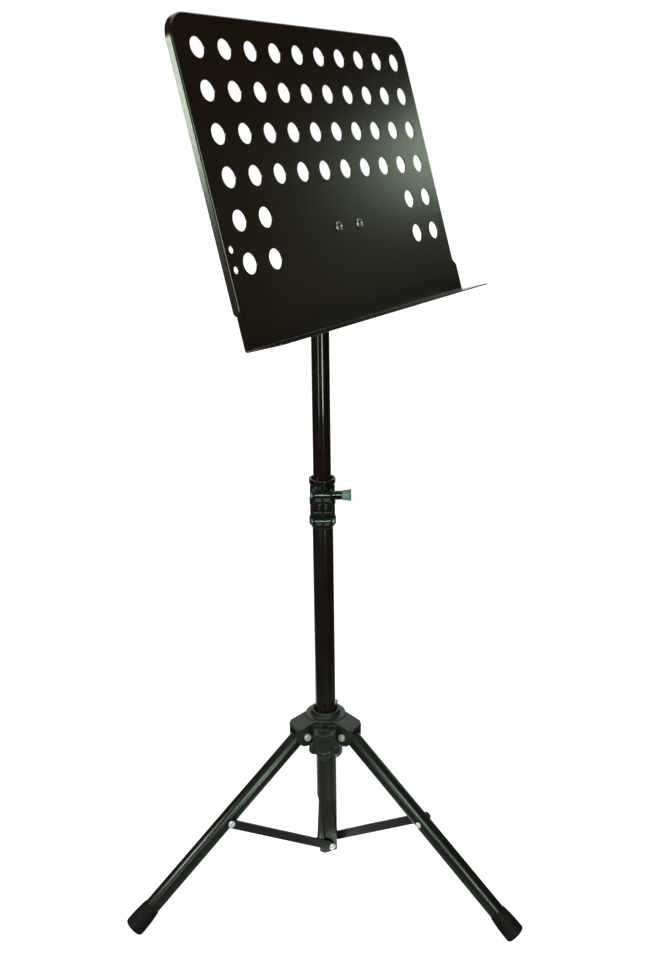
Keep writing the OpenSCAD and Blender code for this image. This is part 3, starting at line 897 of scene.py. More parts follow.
class Finishes:
    """All finishes of the stand, each built once."""

    RANGE: Sequence[Finish] = (
        PowderCoat(
            Slot.DESK,
            (0.0082, 0.0032, 0.0008),
            (0.0098, 0.0048, 0.0018),
            rough=(0.2, 0.245),
            specular=0.42,
            tint=(0.76, 1.0, 0.8),
        ),
        TubePaint(Slot.MAST_GLOSS, (0.0055, 0.0026, 0.0021), (0.0075, 0.0038, 0.003), rough=(0.1, 0.17)),
        TubePaint(Slot.MAST_SATIN, (0.0055, 0.0028, 0.0022), (0.0085, 0.0055, 0.0042), rough=(0.14, 0.2)),
        TubePaint(Slot.LEG, (0.005, 0.0034, 0.0028), (0.0072, 0.005, 0.004), rough=(0.27, 0.29)),
        TubePaint(
            Slot.STRAP, (0.005, 0.0045, 0.004), (0.009, 0.0085, 0.007), rough=(0.2, 0.28), specular=0.4
        ),
        Moulded(Slot.MOULDED, (0.0075, 0.0075, 0.005), (0.0125, 0.0145, 0.0098), rough=(0.34, 0.44)),
        Moulded(
            Slot.CLAMP,
            (0.004, 0.002, 0.0018),
            (0.006, 0.0042, 0.0036),
            rough=(0.16, 0.24),
            grain=0.6,
            relief=0.008,
            # pale edges here mostly paint the highlights on the collar's rims and window frames
            wear_and_highlight=(0.12, 0.16, 0.13),
        ),
        Moulded(
            Slot.NECK,
            (0.002, 0.0015, 0.0013),
            (0.003, 0.0025, 0.002),
            rough=(0.08, 0.14),
            grain=0.5,
            relief=0.004,
            wear_and_highlight=(0.004, 0.0035, 0.003),
        ),
        Moulded(
            Slot.KNOB,
            (0.05, 0.088, 0.06),
            (0.08, 0.125, 0.09),
            rough=(0.4, 0.5),
            grain=0.5,
            relief=0.03,
            # paler cap edges: wear and painted highlight
            wear_and_highlight=(0.2, 0.27, 0.21),
        ),
        Plated(Slot.ZINC, (0.8, 0.81, 0.81), (0.66, 0.68, 0.69), rough=(0.25, 0.36), metal=0.6),
        Plated(Slot.YELLOW, (0.8, 0.74, 0.5), (0.7, 0.66, 0.4), rough=(0.26, 0.38), metal=0.6),
        # darker copy of the zinc: dull plating plus painted shade where the screws cross the clamp's windows
        Plated(Slot.DULL_ZINC, (0.09, 0.15, 0.12), (0.13, 0.21, 0.17), rough=(0.3, 0.42)),
        Plated(Slot.BLACK_ZINC, (0.36, 0.43, 0.3), (0.26, 0.3, 0.2), rough=(0.26, 0.36), metal=0.94),
        Rubber(
            Slot.RUBBER, (0.0045, 0.0028, 0.0022), (0.0075, 0.0055, 0.0045), rough=(0.5, 0.66), specular=0.12
        ),
        Moulded(Slot.NYLON, (0.2, 0.2, 0.18), (0.27, 0.27, 0.25), rough=(0.5, 0.6), specular=0.4, tint=PLAIN),
    )

    def __init__(self) -> None:
        """Builds every finish."""
        self.made: Dict[Slot, bpy.types.Material] = {f.slot: f.make() for f in self.RANGE}

    def get(self, slot: Slot) -> bpy.types.Material:
        """The material of a slot."""
        return self.made[slot]


@dataclass
class Piece:
    """One finished piece, with what it rides on and stands for."""

    obj: bpy.types.Object
    body: str
    slot: Slot
    nodes: Tuple[str, ...] = ()
    angle: float = 32.0
    level: bool = False


class Dresser:
    """Gives pieces and carried-over nodes their finish, body and slot."""

    def __init__(self, finishes: Finishes) -> None:
        """Keeps the finishes.

        Args:
            finishes: the built finishes.
        """
        self.finishes = finishes
        self.count = 0

    def finish(self, piece: Piece) -> None:
        """Shades, dresses and seats one piece."""
        obj = piece.obj
        Bench.smooth(obj, piece.angle, piece.level)
        obj.data.materials.clear()
        obj.data.materials.append(self.finishes.get(piece.slot))
        for polygon in obj.data.polygons:
            polygon.material_index = 0
        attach(obj, piece.body)
        if piece.nodes:
            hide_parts(*piece.nodes)
        self.count += 1
        log.info("%s: %d faces on %s in %s", obj.name, len(obj.data.polygons), piece.body, piece.slot.value)

    def carry(self, node: str, slot: Slot) -> None:
        """Dresses a construction node that stays as it is."""
        obj = frame["nodes"][node]
        for holder in obj.material_slots:
            holder.material = self.finishes.get(slot)
        if not obj.material_slots:
            obj.data.materials.append(self.finishes.get(slot))
        log.info("%s: carried over in %s", node, slot.value)


# ---------------------------------------------------------------- fasteners


@dataclass(frozen=True)
class HexNut:
    """A hexagon nut on a round screw."""

    flats: float
    height: float
    bore: float

    def build(self, name: str) -> bpy.types.Object:
        """Builds the nut along Z from its seat at zero.

        Args:
            name: name of the piece.

        Returns:
            The nut.
        """
        nut = Bench.hexagon(name, self.flats, 0, self.height)
        Bench.cut(
            nut, Bench.turned(name + "_bore", [(-1, self.bore), (self.height + 1, self.bore)], vertices=40)
        )
        return Bench.soft_edges(nut, width=0.12, segments=2)


@dataclass(frozen=True)
class DomeHead:
    """A domed rivet head with a short cylindrical rim."""

    radius: float
    height: float
    rim_share: float = 0.22
    tip_r: float = 0.25
    ease: float = 0.12

    def build(self, name: str) -> bpy.types.Object:
        """Builds the head along Z from its seat at zero."""
        r, rim = self.radius, self.height * self.rim_share
        dome = arc(rim, r, self.tip_r, self.height - rim, steps=7)
        return Bench.turned(name, [(0, r - self.ease), (self.ease, r), (rim, r), *dome], vertices=40)


@dataclass(frozen=True)
class SocketHead:
    """A cylindrical screw head with a hexagon socket."""

    radius: float
    height: float
    socket: float
    depth: float
    crown: float = 0.5

    def build(self, name: str) -> bpy.types.Object:
        """Builds the head along Z from its seat at zero."""
        r, side, key_r = self.radius, self.height - self.crown, self.socket / math.sqrt(3)
        head = Bench.turned(
            name, [(0, r), (side, r), *arc(side, r, r - 0.55, self.crown, steps=4)], vertices=56
        )
        key = Bench.turned(
            name + "_key", [(self.height - self.depth, key_r), (self.height + 1, key_r)], vertices=6
        )
        Bench.cut(head, key)
        return Bench.soft_edges(head, width=0.12, segments=2, angle=40)


# ---------------------------------------------------------------- desk


@dataclass
class MusicDesk:
    """Perforated sheet desk with folded edges and a folded lip."""

    places: Places
    width: float = 465.0
    height: float = 337.0
    sheet: float = 1.5
    edge_depth: float = 9.0
    edge_r: float = 3.0
    corner_r: float = 27.0
    tab_over: float = 5.5
    tab_top: float = 41.0
    step: float = 7.0
    taper: float = 5.6
    lip_depth: float = 40.0
    lip_corner_r: float = 36.0
    fold_r: float = 1.2
    hole_d: float = 21.8
    punch: Tuple[float, float] = (-3.0, 5.0)
    hole_margin: float = 34.5
    row_pitch: float = 43.5
    columns: int = 10
    full_rows: int = 4
    side_rows: int = 2
    side_columns: int = 2
    top_margin: float = 35.4
    small_d: float = 7.5
    small_in: float = 10.1
    small_low: float = 80.0
    small_pitch: float = 20.4
    screw_x: float = 22.3
    tilt_up: float = 106.3
    tilt_back: float = 43.0
    head_r: float = 6.3
    screw_r: float = 3.0
    bracket_t: float = 2.5
    bracket_w: float = 66.0
    bracket_h: float = 46.0
    bracket_corner_r: float = 6.0
    ear_in: float = 14.3
    ear_r: float = 12.0
    bolt_hole_r: float = 4.05

    def holes(self) -> List[Station]:
        """(x, z) of every large hole, mm."""
        pitch = (self.width - 2 * self.hole_margin) / (self.columns - 1)
        top = self.height - self.top_margin
        middle = (self.columns - 1) / 2
        out = [
            ((c - middle) * pitch, top - r * self.row_pitch)
            for r in range(self.full_rows)
            for c in range(self.columns)
        ]
        for r in range(self.full_rows, self.full_rows + self.side_rows):
            for c in range(self.side_columns):
                out += [(s * (middle - c) * pitch, top - r * self.row_pitch) for s in (-1, 1)]
        return out

    def folded_sheet(self) -> bpy.types.Object:
        """Folds the sheet up from a flat blank: face, edges, foot and lip.

        Returns:
            The open front surface of the sheet.
        """
        Bench.rest()
        foot = self.tab_top - self.step
        mid = (foot + self.height) / 2 * MM
        bpy.ops.mesh.primitive_plane_add(size=1, location=(0, 0, mid), rotation=(math.pi / 2, 0, 0))
        bpy.context.object.scale = (self.width * MM, (self.height - foot) * MM, 1)
        obj = Bench.named("desk_panel_sheet")

        def near(a: float, b: float) -> bool:
            """Whether a coordinate in metres is at a place in mm."""
            return abs(a - b * MM) < NEAR

        Bench.edit(obj)
        Bench.pick(obj, Element.VERTICES, lambda v: near(v.co.z, self.height))
        Bench.round_off(self.corner_r, steps=16, kind=Element.VERTICES)
        Bench.pick(
            obj, Element.EDGES, lambda e: e.is_boundary and not all(near(v.co.z, foot) for v in e.verts)
        )
        Bench.draw_out(y=self.edge_depth)
        Bench.pick(obj, Element.EDGES, lambda e: not e.is_boundary and all(near(v.co.y, 0) for v in e.verts))
        Bench.round_off(self.edge_r, steps=6)
        Bench.pick(obj, Element.VERTICES, lambda v: near(v.co.y, self.edge_depth) and near(v.co.z, foot))
        Bench.round_off(self.taper, steps=5, kind=Element.VERTICES, profile=0.35)
        Bench.pick(
            obj,
            Element.EDGES,
            lambda e: e.is_boundary and e.calc_length() > 0.1 and all(
                near(v.co.y, 0) and near(v.co.z, foot) for v in e.verts
            ),
        )
        Bench.draw_out(z=-(foot - self.sheet))
        Bench.draw_out(y=-self.lip_depth)
        inner = self.width / 2 - self.edge_r
        top = foot * MM + NEAR
        for side in (-1, 1):
            Bench.pick(
                obj,
                Element.EDGES,
                lambda e: e.is_boundary and all(near(v.co.x, side * inner) and v.co.z < top for v in e.verts),
            )
            Bench.draw_out(x=side * (self.edge_r + self.tab_over))
        Bench.pick(
            obj,
            Element.EDGES,
            lambda e: not e.is_boundary and all(
                near(v.co.y, 0) and near(v.co.z, self.sheet) for v in e.verts
            ),
        )
        Bench.round_off(self.fold_r, steps=6)
        Bench.pick(
            obj,
            Element.VERTICES,
            lambda v: near(v.co.y, -self.lip_depth) and near(abs(v.co.x), self.width / 2 + self.tab_over),
        )
        Bench.round_off(self.lip_corner_r, steps=18, kind=Element.VERTICES)
        bpy.ops.mesh.select_all(action="SELECT")
        bpy.ops.mesh.remove_doubles(threshold=MERGE)
        bpy.ops.mesh.normals_make_consistent(inside=False)
        Bench.rest()
        face = max(obj.data.polygons, key=lambda p: p.area)
        if face.normal.y > 0:
            Bench.edit(obj)
            bpy.ops.mesh.select_all(action="SELECT")
            bpy.ops.mesh.flip_normals()
            Bench.rest()
        return obj

    def panel(self) -> Piece:
        """The perforated desk.

        Returns:
            The dressed sheet with every hole punched.
        """
        obj = self.folded_sheet()
        Bench.apply(obj, "SOLIDIFY", thickness=self.sheet * MM, offset=-1, use_even_offset=True)
        master = rod("punch", self.hole_d / 2, *self.punch, TO_Y, vertices=48)
        punches = [Bench.placed(Bench.copy(master, "punch"), shift(x, 0, z)) for x, z in self.holes()]
        bpy.data.objects.remove(master)
        for s in (-1, 1):
            for k in range(2):
                small = shift(s * (self.width / 2 - self.small_in), 0, self.small_low + k * self.small_pitch)
                punches.append(rod("punch", self.small_d / 2, *self.punch, small @ TO_Y, vertices=32))
            punches.append(
                rod(
                    "punch",
                    self.screw_r + FIT,
                    *self.punch,
                    shift(s * self.screw_x, 0, self.tilt_up) @ TO_Y,
                    vertices=32,
                )
            )
        Bench.cut(obj, Bench.join(punches, "punches"))
        Bench.soft_edges(obj, width=0.3, segments=2, angle=40)
        obj = Bench.join([obj, *(self.shoulder(s) for s in (-1, 1))], "desk_panel_sheet")
        Bench.placed(obj, self.places.desk)
        return Piece(obj, "desk", Slot.DESK, ("desk_panel",), angle=40, level=True)

    def shoulder(self, side: int) -> bpy.types.Object:
        """The sloping step from the side fold out to the wider foot of the sheet.

        Args:
            side: -1 for the left, 1 for the right.

        Returns:
            The wedge of sheet.
        """
        inner, outer = self.width / 2 - self.edge_r, self.width / 2 + self.tab_over
        foot = self.tab_top - self.step
        xs = sorted((side * (inner - 2), side * outer))
        wedge = Bench.block("shoulder", (xs[0], 0, foot - 0.4), (xs[1], self.sheet, self.tab_top))
        Bench.trim(wedge, (side * outer, 0, foot), Vector((side * self.step, 0, outer - inner)))
        return Bench.soft_edges(wedge, width=0.3, segments=2, angle=40)

    def screws(self) -> Piece:
        """Two dished cup-head screws through the desk."""
        parts = []
        r = self.head_r
        for s in (-1, 1):
            head = Bench.turned(
                "cup",
                [
                    (0, r),
                    (0.3, r),
                    (0.9, r - 0.2),
                    (1.5, r - 0.6),
                    (2.0, r - 1.2),
                    (2.4, r - 2.0),
                    (2.5, r - 2.6),
                    (2.1, r - 3.0),
                    (1.1, 2.4),
                    (0.9, 1.4),
                    (1.0, 0.3),
                ],
                vertices=56,
            )
            shank = Bench.turned(
                "shank",
                [
                    (-self.sheet - self.bracket_t - 6, self.screw_r - 0.5),
                    (-self.sheet - self.bracket_t - 5.5, self.screw_r),
                    (0.3, self.screw_r),
                ],
                vertices=40,
            )
            place = shift(s * self.screw_x, 0, self.tilt_up) @ TO_MINUS_Y
            parts += [Bench.placed(head, place), Bench.placed(shank, place)]
        obj = Bench.placed(Bench.join(parts, "desk_screw_pair"), self.places.desk)
        return Piece(obj, "desk", Slot.BLACK_ZINC, ("desk_screws",), angle=30)

    def nuts(self) -> Piece:
        """The two nuts behind the desk."""
        made = []
        for s in (-1, 1):
            nut = HexNut(flats=10, height=4.6, bore=self.screw_r + FIT).build("nut")
            made.append(
                Bench.placed(
                    nut,
                    shift(
                        s * self.screw_x, self.sheet + self.bracket_t, self.tilt_up
                    ) @ TO_Y @ turn(30, Axis.Z),
                )
            )
        obj = Bench.placed(Bench.join(made, "desk_nut_pair"), self.places.desk)
        return Piece(obj, "desk", Slot.ZINC, ("desk_nuts",))

    def bracket(self) -> Piece:
        """Plate with two rounded ears that hold the tilt bolt."""
        y0, y1 = self.sheet, self.sheet + self.bracket_t
        plate = Bench.block(
            "desk_bracket_plate",
            (-self.bracket_w / 2, y0, self.tilt_up - self.bracket_h / 2),
            (self.bracket_w / 2, y1, self.tilt_up + self.bracket_h / 2),
        )
        Bench.edit(plate)
        Bench.pick(plate, Element.EDGES, lambda e: Bench.runs_along(e, Axis.Y))
        Bench.round_off(self.bracket_corner_r, steps=6)
        Bench.rest()
        ears = []
        for s in (-1, 1):
            xs = sorted((s * self.ear_in, s * (self.ear_in + self.bracket_t)))
            far = self.tilt_back + self.ear_r
            ear = Bench.block(
                "ear", (xs[0], y0 + 0.5, self.tilt_up - self.ear_r), (xs[1], far, self.tilt_up + self.ear_r)
            )
            Bench.edit(ear)
            Bench.pick(
                ear,
                Element.EDGES,
                lambda e: Bench.runs_along(e, Axis.X) and all(v.co.y > (far - 0.1) * MM for v in e.verts),
            )
            Bench.round_off(self.ear_r * 0.999, steps=14)
            Bench.rest()
            ears.append(ear)
        Bench.fuse(plate, *ears)
        for s in (-1, 1):
            Bench.cut(
                plate, rod("hole", self.screw_r + FIT, -1, 8, shift(s * self.screw_x, 0, self.tilt_up) @ TO_Y)
            )
        Bench.cut(
            plate, rod("hole", self.bolt_hole_r, -30, 30, shift(0, self.tilt_back, self.tilt_up) @ TO_X)
        )
        Bench.soft_edges(plate, width=0.4, segments=2, angle=40)
        return Piece(
            Bench.placed(plate, self.places.desk), "desk", Slot.STRAP, ("desk_bracket",), angle=40, level=True
        )

    def build(self, dresser: Dresser) -> None:
        """Builds and dresses the desk's pieces."""
        for make in (self.panel, self.screws, self.nuts, self.bracket):
            dresser.finish(make())


# ---------------------------------------------------------------- tilt joint


@dataclass
class TiltJoint:
    """Barrel head, bolt and lobed knob behind the desk."""

    places: Places
    head_w: float = 28.0
    head_r: float = 12.5
    bolt_r: float = 4.0
    bolt_flats: float = 13.0
    ear_out: float = 16.8
    gap: float = 0.3
    knob_d: float = 34.0
    lobes: int = 5
    neck_r: float = 11.6
    plug_r: float = 9.45

    def bolt(self) -> Piece:
        """Hexagon bolt through the ears."""
        head = Bench.hexagon("tilt_bolt_head", self.bolt_flats, self.ear_out, self.ear_out + 5, chamfer=0.7)
        Bench.placed(head, TO_MINUS_X)
        shank = Bench.turned(
            "shank",
            [
                (-self.ear_out - 0.5, self.bolt_r),
                (self.ear_out + 12.4, self.bolt_r),
                (self.ear_out + 13, self.bolt_r - 0.6),
            ],
            vertices=48,
        )
        Bench.placed(shank, TO_X)
        obj = Bench.placed(Bench.join([head, shank], "tilt_bolt_hex"), self.places.tilt)
        return Piece(obj, "desk", Slot.ZINC, ("tilt_bolt",))

    def knob(self) -> Piece:
        """Five-lobed knob with a stepped hub and a dished face."""
        r = self.knob_d / 2
        core = Bench.turned(
            "tilt_knob_lobed",
            [
                (0, 8.6),
                (0.4, 9),
                (3.6, 9),
                (3.8, r - 5.4),
                (4.4, r - 5),
                (14, r - 5),
                *arc(14, r - 5, r - 6.4, 1, steps=3),
            ],
            vertices=72,
        )
        for i in range(self.lobes):
            lobe = Bench.turned(
                "lobe", [(3, 5.2), (3.9, 6), (13, 6), *arc(13, 6, 5, 1, steps=3)], vertices=48
            )
            Bench.fuse(core, Bench.placed(lobe, turn(360 / self.lobes * i, Axis.Z) @ shift(-(r - 6), 0, 0)))
        Bench.cut(
            core,
            Bench.turned("dish", [(14.2, 7.2), (16, 8.4)], vertices=56),
            Bench.turned("bore", [(-1, self.bolt_r + FIT), (13.2, self.bolt_r + FIT)], vertices=40),
        )
        Bench.moulded(core, voxel=0.42, rounds=3, keep=0.6)
        Bench.placed(core, self.places.tilt @ shift(self.ear_out + self.gap, 0, 0) @ TO_X)
        return Piece(core, "tilt_knob", Slot.MOULDED, ("tilt_knob",), angle=60)

    def head(self) -> Piece:
        """Barrel head with its neck and the plug inside the tube."""
        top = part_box("upper_tube")[1].z / MM
        barrel = rod(
            "tilt_head_barrel",
            self.head_r,
            -self.head_w / 2,
            self.head_w / 2,
            self.places.tilt @ TO_X,
            vertices=72,
        )
        neck = rod("neck", self.neck_r, top, self.places.tilt_z - 2, Matrix.Identity(4), vertices=72)
        Bench.fuse(barrel, neck)
        for x in (-7, 7):
            groove = Bench.turned("groove", [(x - 1, self.head_r + 2), (x + 1, self.head_r + 2)], vertices=72)
            inner = Bench.turned(
                "core", [(x - 2, self.head_r - 0.7), (x + 2, self.head_r - 0.7)], vertices=72
            )
            Bench.cut(groove, inner)
            Bench.cut(barrel, Bench.placed(groove, self.places.tilt @ TO_X))
        Bench.cut(barrel, rod("bore", self.bolt_r + FIT, -20, 20, self.places.tilt @ TO_X))
        Bench.moulded(barrel, voxel=0.5, rounds=3, keep=0.6)
        plug = rod("plug", self.plug_r, top - 22, top + 0.5, Matrix.Identity(4), vertices=64)
        return Piece(
            Bench.join([barrel, plug], "tilt_head_barrel"), "mast", Slot.MOULDED, ("tilt_head",), angle=50
        )

    def build(self, dresser: Dresser) -> None:
        """Builds and dresses the joint's pieces."""
        for make in (self.bolt, self.knob, self.head):
            dresser.finish(make())


# ---------------------------------------------------------------- mast


@dataclass
class Mast:
    """Two telescoping tubes; the lower one is pressed flat on three faces at its foot."""

    upper_r: float = 11.0
    lower_r: float = 12.7
    wall: float = 1.5
    flat_r: float = 9.7
    flat_top: float = 96.0
    plug_in: float = 2.5
    rivet_r: float = 2.4
    rivet_z: float = 35.7
    sole_t: float = 1.6
    head_r: float = 4.3
    strap_out: float = 13.3
    press: Sequence[Station] = ((2, 0.2), (2, 0.55), (2, 0.85), (2, 1.05), (16, 4.8))

    def tube(self, name: str, radius: float, z0: float, z1: float) -> bpy.types.Object:
        """An open tube with rolled ends.

        Args:
            name: name of the piece.
            radius: outer radius, mm.
            z0: lower end, mm.
            z1: upper end, mm.

        Returns:
            The tube.
        """
        body = Bench.turned(name, [(z0, radius), (z1, radius)], vertices=96)
        Bench.cut(
            body,
            Bench.turned("bore", [(z0 - 2, radius - self.wall), (z1 + 2, radius - self.wall)], vertices=96),
        )
        return Bench.soft_edges(body, width=0.35, segments=3, angle=40)

    def upper(self) -> Piece:
        """Gloss upper tube."""
        low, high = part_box("upper_tube")
        return Piece(
            self.tube("upper_tube_gloss", self.upper_r, low.z / MM, high.z / MM),
            "mast",
            Slot.MAST_GLOSS,
            ("upper_tube",),
        )

    def pressed(self, name: str, radius: float, flat: float, z0: float, z1: float) -> bpy.types.Object:
        """A round bar with the three pressed faces at its foot.

        Args:
            name: name of the piece.
            radius: radius of the bar, mm.
            flat: distance of each flat from the axis, mm.
            z0: lower end, mm.
            z1: upper end, mm.

        Returns:
            The bar.
        """
        bar = Bench.turned(name, [(z0, radius), (z1, radius)], vertices=96)
        for side in Leg:
            jaw = Bench.block("jaw", (flat, -20, z0 - 5), (flat + 20, 20, self.flat_top))
            Bench.edit(jaw)
            Bench.pick(jaw, Element.FACES, lambda f: f.normal.z > ALONG)
            for rise, out in self.press:
                Bench.draw_out(x=out, z=rise)
            Bench.rest()
            Bench.cut(bar, Bench.placed(jaw, turn(side.value + 90, Axis.Z)))
        return bar

    def lower(self) -> Piece:
        """Satin lower tube."""
        low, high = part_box("lower_tube")
        z0, z1 = low.z / MM, high.z / MM
        body = self.pressed("lower_tube_satin", self.lower_r, self.flat_r, z0, z1)
        Bench.cut(
            body, self.pressed("bore", self.lower_r - self.wall, self.flat_r - self.wall, z0 - 2, z1 + 2)
        )
        Bench.soft_edges(body, width=0.4, segments=3, angle=60)
        return Piece(body, "stand_base", Slot.MAST_SATIN, ("lower_tube",), angle=58)

    def plug(self) -> Piece:
        """End plug with a slightly domed sole."""
        z0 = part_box("lower_tube")[0].z / MM
        rim = self.pressed("base_plug_cap", self.lower_r, self.flat_r, z0 - self.sole_t, z0)
        Bench.soft_edges(rim, width=1.3, segments=4, angle=30)
        stem = self.pressed(
            "stem", self.lower_r - self.wall - FIT, self.flat_r - self.wall - FIT, z0 - 0.5, z0 + self.plug_in
        )
        return Piece(Bench.join([rim, stem], "base_plug_cap"), "stand_base", Slot.MOULDED, ("base_plug",))

    def rivets(self) -> Piece:
        """Three domed rivets that hold the brace straps."""
        parts = []
        inner = self.flat_r - self.wall
        for side in Leg:
            place = turn(side.value, Axis.Z) @ shift(0, 0, self.rivet_z) @ TO_Y
            head = DomeHead(radius=self.head_r, height=1.9).build("rivet")
            parts.append(Bench.placed(head, place @ shift(0, 0, self.strap_out)))
            parts.append(rod("shank", self.rivet_r, inner - 1, self.strap_out + 0.4, place, vertices=32))
            parts.append(rod("tail", self.head_r - 0.6, inner - 1.4, inner - 0.2, place, vertices=32))
        return Piece(Bench.join(parts, "base_rivet_set"), "stand_base", Slot.ZINC, ("base_rivets",))

    def build(self, dresser: Dresser) -> None:
        """Builds and dresses the mast's pieces."""
        for make in (self.upper, self.lower, self.plug, self.rivets):
            dresser.finish(make())
        dresser.carry("mast_bush", Slot.NYLON)


# ---------------------------------------------------------------- height clamp


@dataclass
class HeightClamp:
    """Split moulded collar with two cross screws, one of them with a knob."""

    places: Places
    z0: float = 460.0
    length: float = 61.5
    radius: float = 15.4
    rim_r: float = 16.3
    lower_r: float = 12.75
    upper_r: float = 11.05
    tube_top: float = 505.2
    pad_w: float = 11.5
    pad_y: float = 19.2
    split: float = 2.0
    screw_r: float = 2.0
    screw_y: float = 16.4
    knob_z: float = 504.4
    fixed_z: float = 472.0
    gap: float = 0.3
    cap_x: float = 23.4
    end_x: float = 34.5
    flutes: int = 24
    flute_depth: float = 0.28
    flute_gap: float = 0.12
    bar_h: float = 2.4
    bars: Sequence[float] = (21, 35, 49)
    tab_w: float = 2.6
    tab_xs: Sequence[float] = (-5.2, 2.6)
    tabs: Sequence[Station] = ((26, 3.2), (31, 2.4), (52.6, 2.6))
    window_in: float = 2.2
    window_y: float = 13.8

    @property
    def knob_place(self) -> Matrix:
        """Frame of the knob and its screw: z out along the screw."""
        return self.places.clamp @ shift(0, -self.screw_y, self.knob_z) @ TO_X

    def collar(self) -> Piece:
        """The moulded collar with its pads, windows, bars and split."""
        z0, z1 = self.z0, self.z0 + self.length
        body = Bench.turned(
            "clamp_collar_split",
            [
                (z0, self.lower_r + 0.75),
                (z0 + 5, self.rim_r + 0.2),
                (z0 + 12, self.rim_r + 0.2),
                (z0 + 15, self.radius),
                (z0 + 28.6, self.radius),
                (z0 + 29.4, self.radius + 0.6),
                (z0 + 36.6, self.radius + 0.6),
                (z0 + 37.4, self.radius),
                (z1 - 7, self.radius),
                (z1 - 5.5, self.rim_r),
                (z1 - 0.6, self.rim_r),
                (z1, self.rim_r - 0.6),
            ],
            vertices=96,
        )
        pad = Bench.block("pad", (-self.pad_w, -self.pad_y, z0 + 4), (self.pad_w, -self.pad_y + 10, z1 - 9))
        bars = [
            Bench.block(
                "bar",
                (-self.pad_w + 1.5, -self.pad_y - 1, z0 + h),
                (self.pad_w - 1.5, -self.pad_y + 3, z0 + h + self.bar_h),
            )
            for h in self.bars
        ]
        tabs = [
            Bench.block("tab", (x, -self.pad_y - 1, z0 + h), (x + self.tab_w, -self.pad_y + 3, z0 + h + t))
            for x in self.tab_xs
            for h, t in self.tabs
        ]
        Bench.fuse(body, pad, *bars, *tabs)
        Bench.cut(
            body,
            Bench.turned("bore", [(z0 - 1, self.lower_r), (self.tube_top, self.lower_r)], vertices=96),
            Bench.turned("bore", [(z0 + 1, self.upper_r), (z1 + 1, self.upper_r)], vertices=96),
            Bench.turned("dish", [(z1 - 5, self.rim_r - 2.6), (z1 + 3, self.rim_r - 2.6)], vertices=96),
            Bench.block("split", (-self.split / 2, -40, z0 - 1), (self.split / 2, -8, z1 + 1)),
            Bench.block(
                "window",
                (-self.pad_w + self.window_in, -40, self.knob_z - 7),
                (self.pad_w - self.window_in, -self.window_y, self.knob_z + 7),
            ),
            Bench.block(
                "window",
                (-self.pad_w + self.window_in, -40, self.fixed_z - 5),
                (self.pad_w - self.window_in, -self.window_y, self.fixed_z + 8),
            ),
        )
        for z in (self.knob_z, self.fixed_z):
            Bench.cut(
                body, rod("hole", self.screw_r + FIT, -30, 30, shift(0, -self.screw_y, z) @ TO_X, vertices=32)
            )
        Bench.moulded(body, voxel=0.32, rounds=1, keep=0.45)
        return Piece(
            Bench.placed(body, self.places.clamp), "stand_base", Slot.CLAMP, ("clamp_collar",), angle=50
        )

    def fixed_screw(self) -> Piece:
        """Cross screw with a socket head."""
        head = SocketHead(radius=3.6, height=2.6, socket=2.5, depth=1.5).build("head")
        Bench.placed(head, shift(-self.pad_w, 0, 0) @ TO_MINUS_X)
        shank = rod("shank", self.screw_r, -self.pad_w - 0.4, self.pad_w + 3.5, TO_X, vertices=32)
        obj = Bench.placed(
            Bench.join([head, shank], "clamp_screw_socket"),
            self.places.clamp @ shift(0, -self.screw_y, self.fixed_z),
        )
        return Piece(obj, "stand_base", Slot.DULL_ZINC, ("clamp_screw",))

    def nuts(self) -> Piece:
        """The nuts of the two cross screws."""
        made = []
        for side, z in ((1, self.fixed_z), (-1, self.knob_z)):
            nut = HexNut(flats=7, height=2.8, bore=self.screw_r + FIT).build("nut")
            made.append(
                Bench.placed(
                    nut, shift(side * self.pad_w, -self.screw_y, z) @ (TO_X if side > 0 else TO_MINUS_X)
                )
            )
        return Piece(
            Bench.placed(Bench.join(made, "clamp_nut_pair"), self.places.clamp),
            "stand_base",
            Slot.DULL_ZINC,
            ("clamp_nuts",),
        )

    def stud(self) -> Piece:
        """Screw of the clamp knob."""
        obj = Bench.turned(
            "clamp_stud_screw",
            [
                (-self.pad_w - 3.4, self.screw_r - 0.5),
                (-self.pad_w - 2.9, self.screw_r),
                (self.cap_x + 4, self.screw_r),
            ],
            vertices=40,
        )
        return Piece(Bench.placed(obj, self.knob_place), "height_clamp", Slot.DULL_ZINC, ("clamp_stud",))

    def neck(self) -> Piece:
        """The knob's grooved neck, moulded in the black of the collar."""
        x0 = self.pad_w + self.gap
        neck = Bench.turned(
            "clamp_knob_neck",
            [
                (x0, 5.2),
                (x0 + 0.4, 5.6),
                (x0 + 3.4, 5.6),
                (x0 + 3.8, 5.2),
                (x0 + 4.4, 5.2),
                (x0 + 4.8, 5.6),
                (self.cap_x - 1.2, 5.6),
                (self.cap_x - 0.8, 5.3),
                (self.cap_x + 0.5, 5.3),
            ],
            vertices=56,
        )
        Bench.cut(
            neck, rod("bore", self.screw_r + FIT, x0 - 1, self.cap_x + 1, Matrix.Identity(4), vertices=32)
        )
        return Piece(
            Bench.placed(neck, self.knob_place), "height_clamp", Slot.NECK, ("clamp_knob",), angle=28
        )

    def knob(self) -> Piece:
        """The knob's flared cap with fine flutes."""
        cap = Bench.turned(
            "clamp_knob_cap",
            [
                (self.cap_x, 5.4),
                (self.cap_x + 0.5, 6.0),
                (self.end_x - 0.9, 7.1),
                *arc(self.end_x - 0.9, 7.1, 6.2, 0.9, steps=4),
                (self.end_x - 0.5, 5.2),
                (self.end_x - 0.7, 1.0),
            ],
            vertices=self.flutes * 4,
        )
        Bench.edit(cap)
        low, high = (self.cap_x + 1.2) * MM, (self.end_x - 1.2) * MM
        middle = (low + high) / 2
        step = 360 / (self.flutes * 4)

        def flute(f: bmesh.types.BMFace) -> bool:
            """Two of every four faces of the flared side."""
            c = f.calc_center_median()
            if abs(c.z - middle) > 2 * MM or c.xy.length < 5 * MM:
                return False
            return int(Bench.azimuth(f) / step) % 4 in (0, 1)

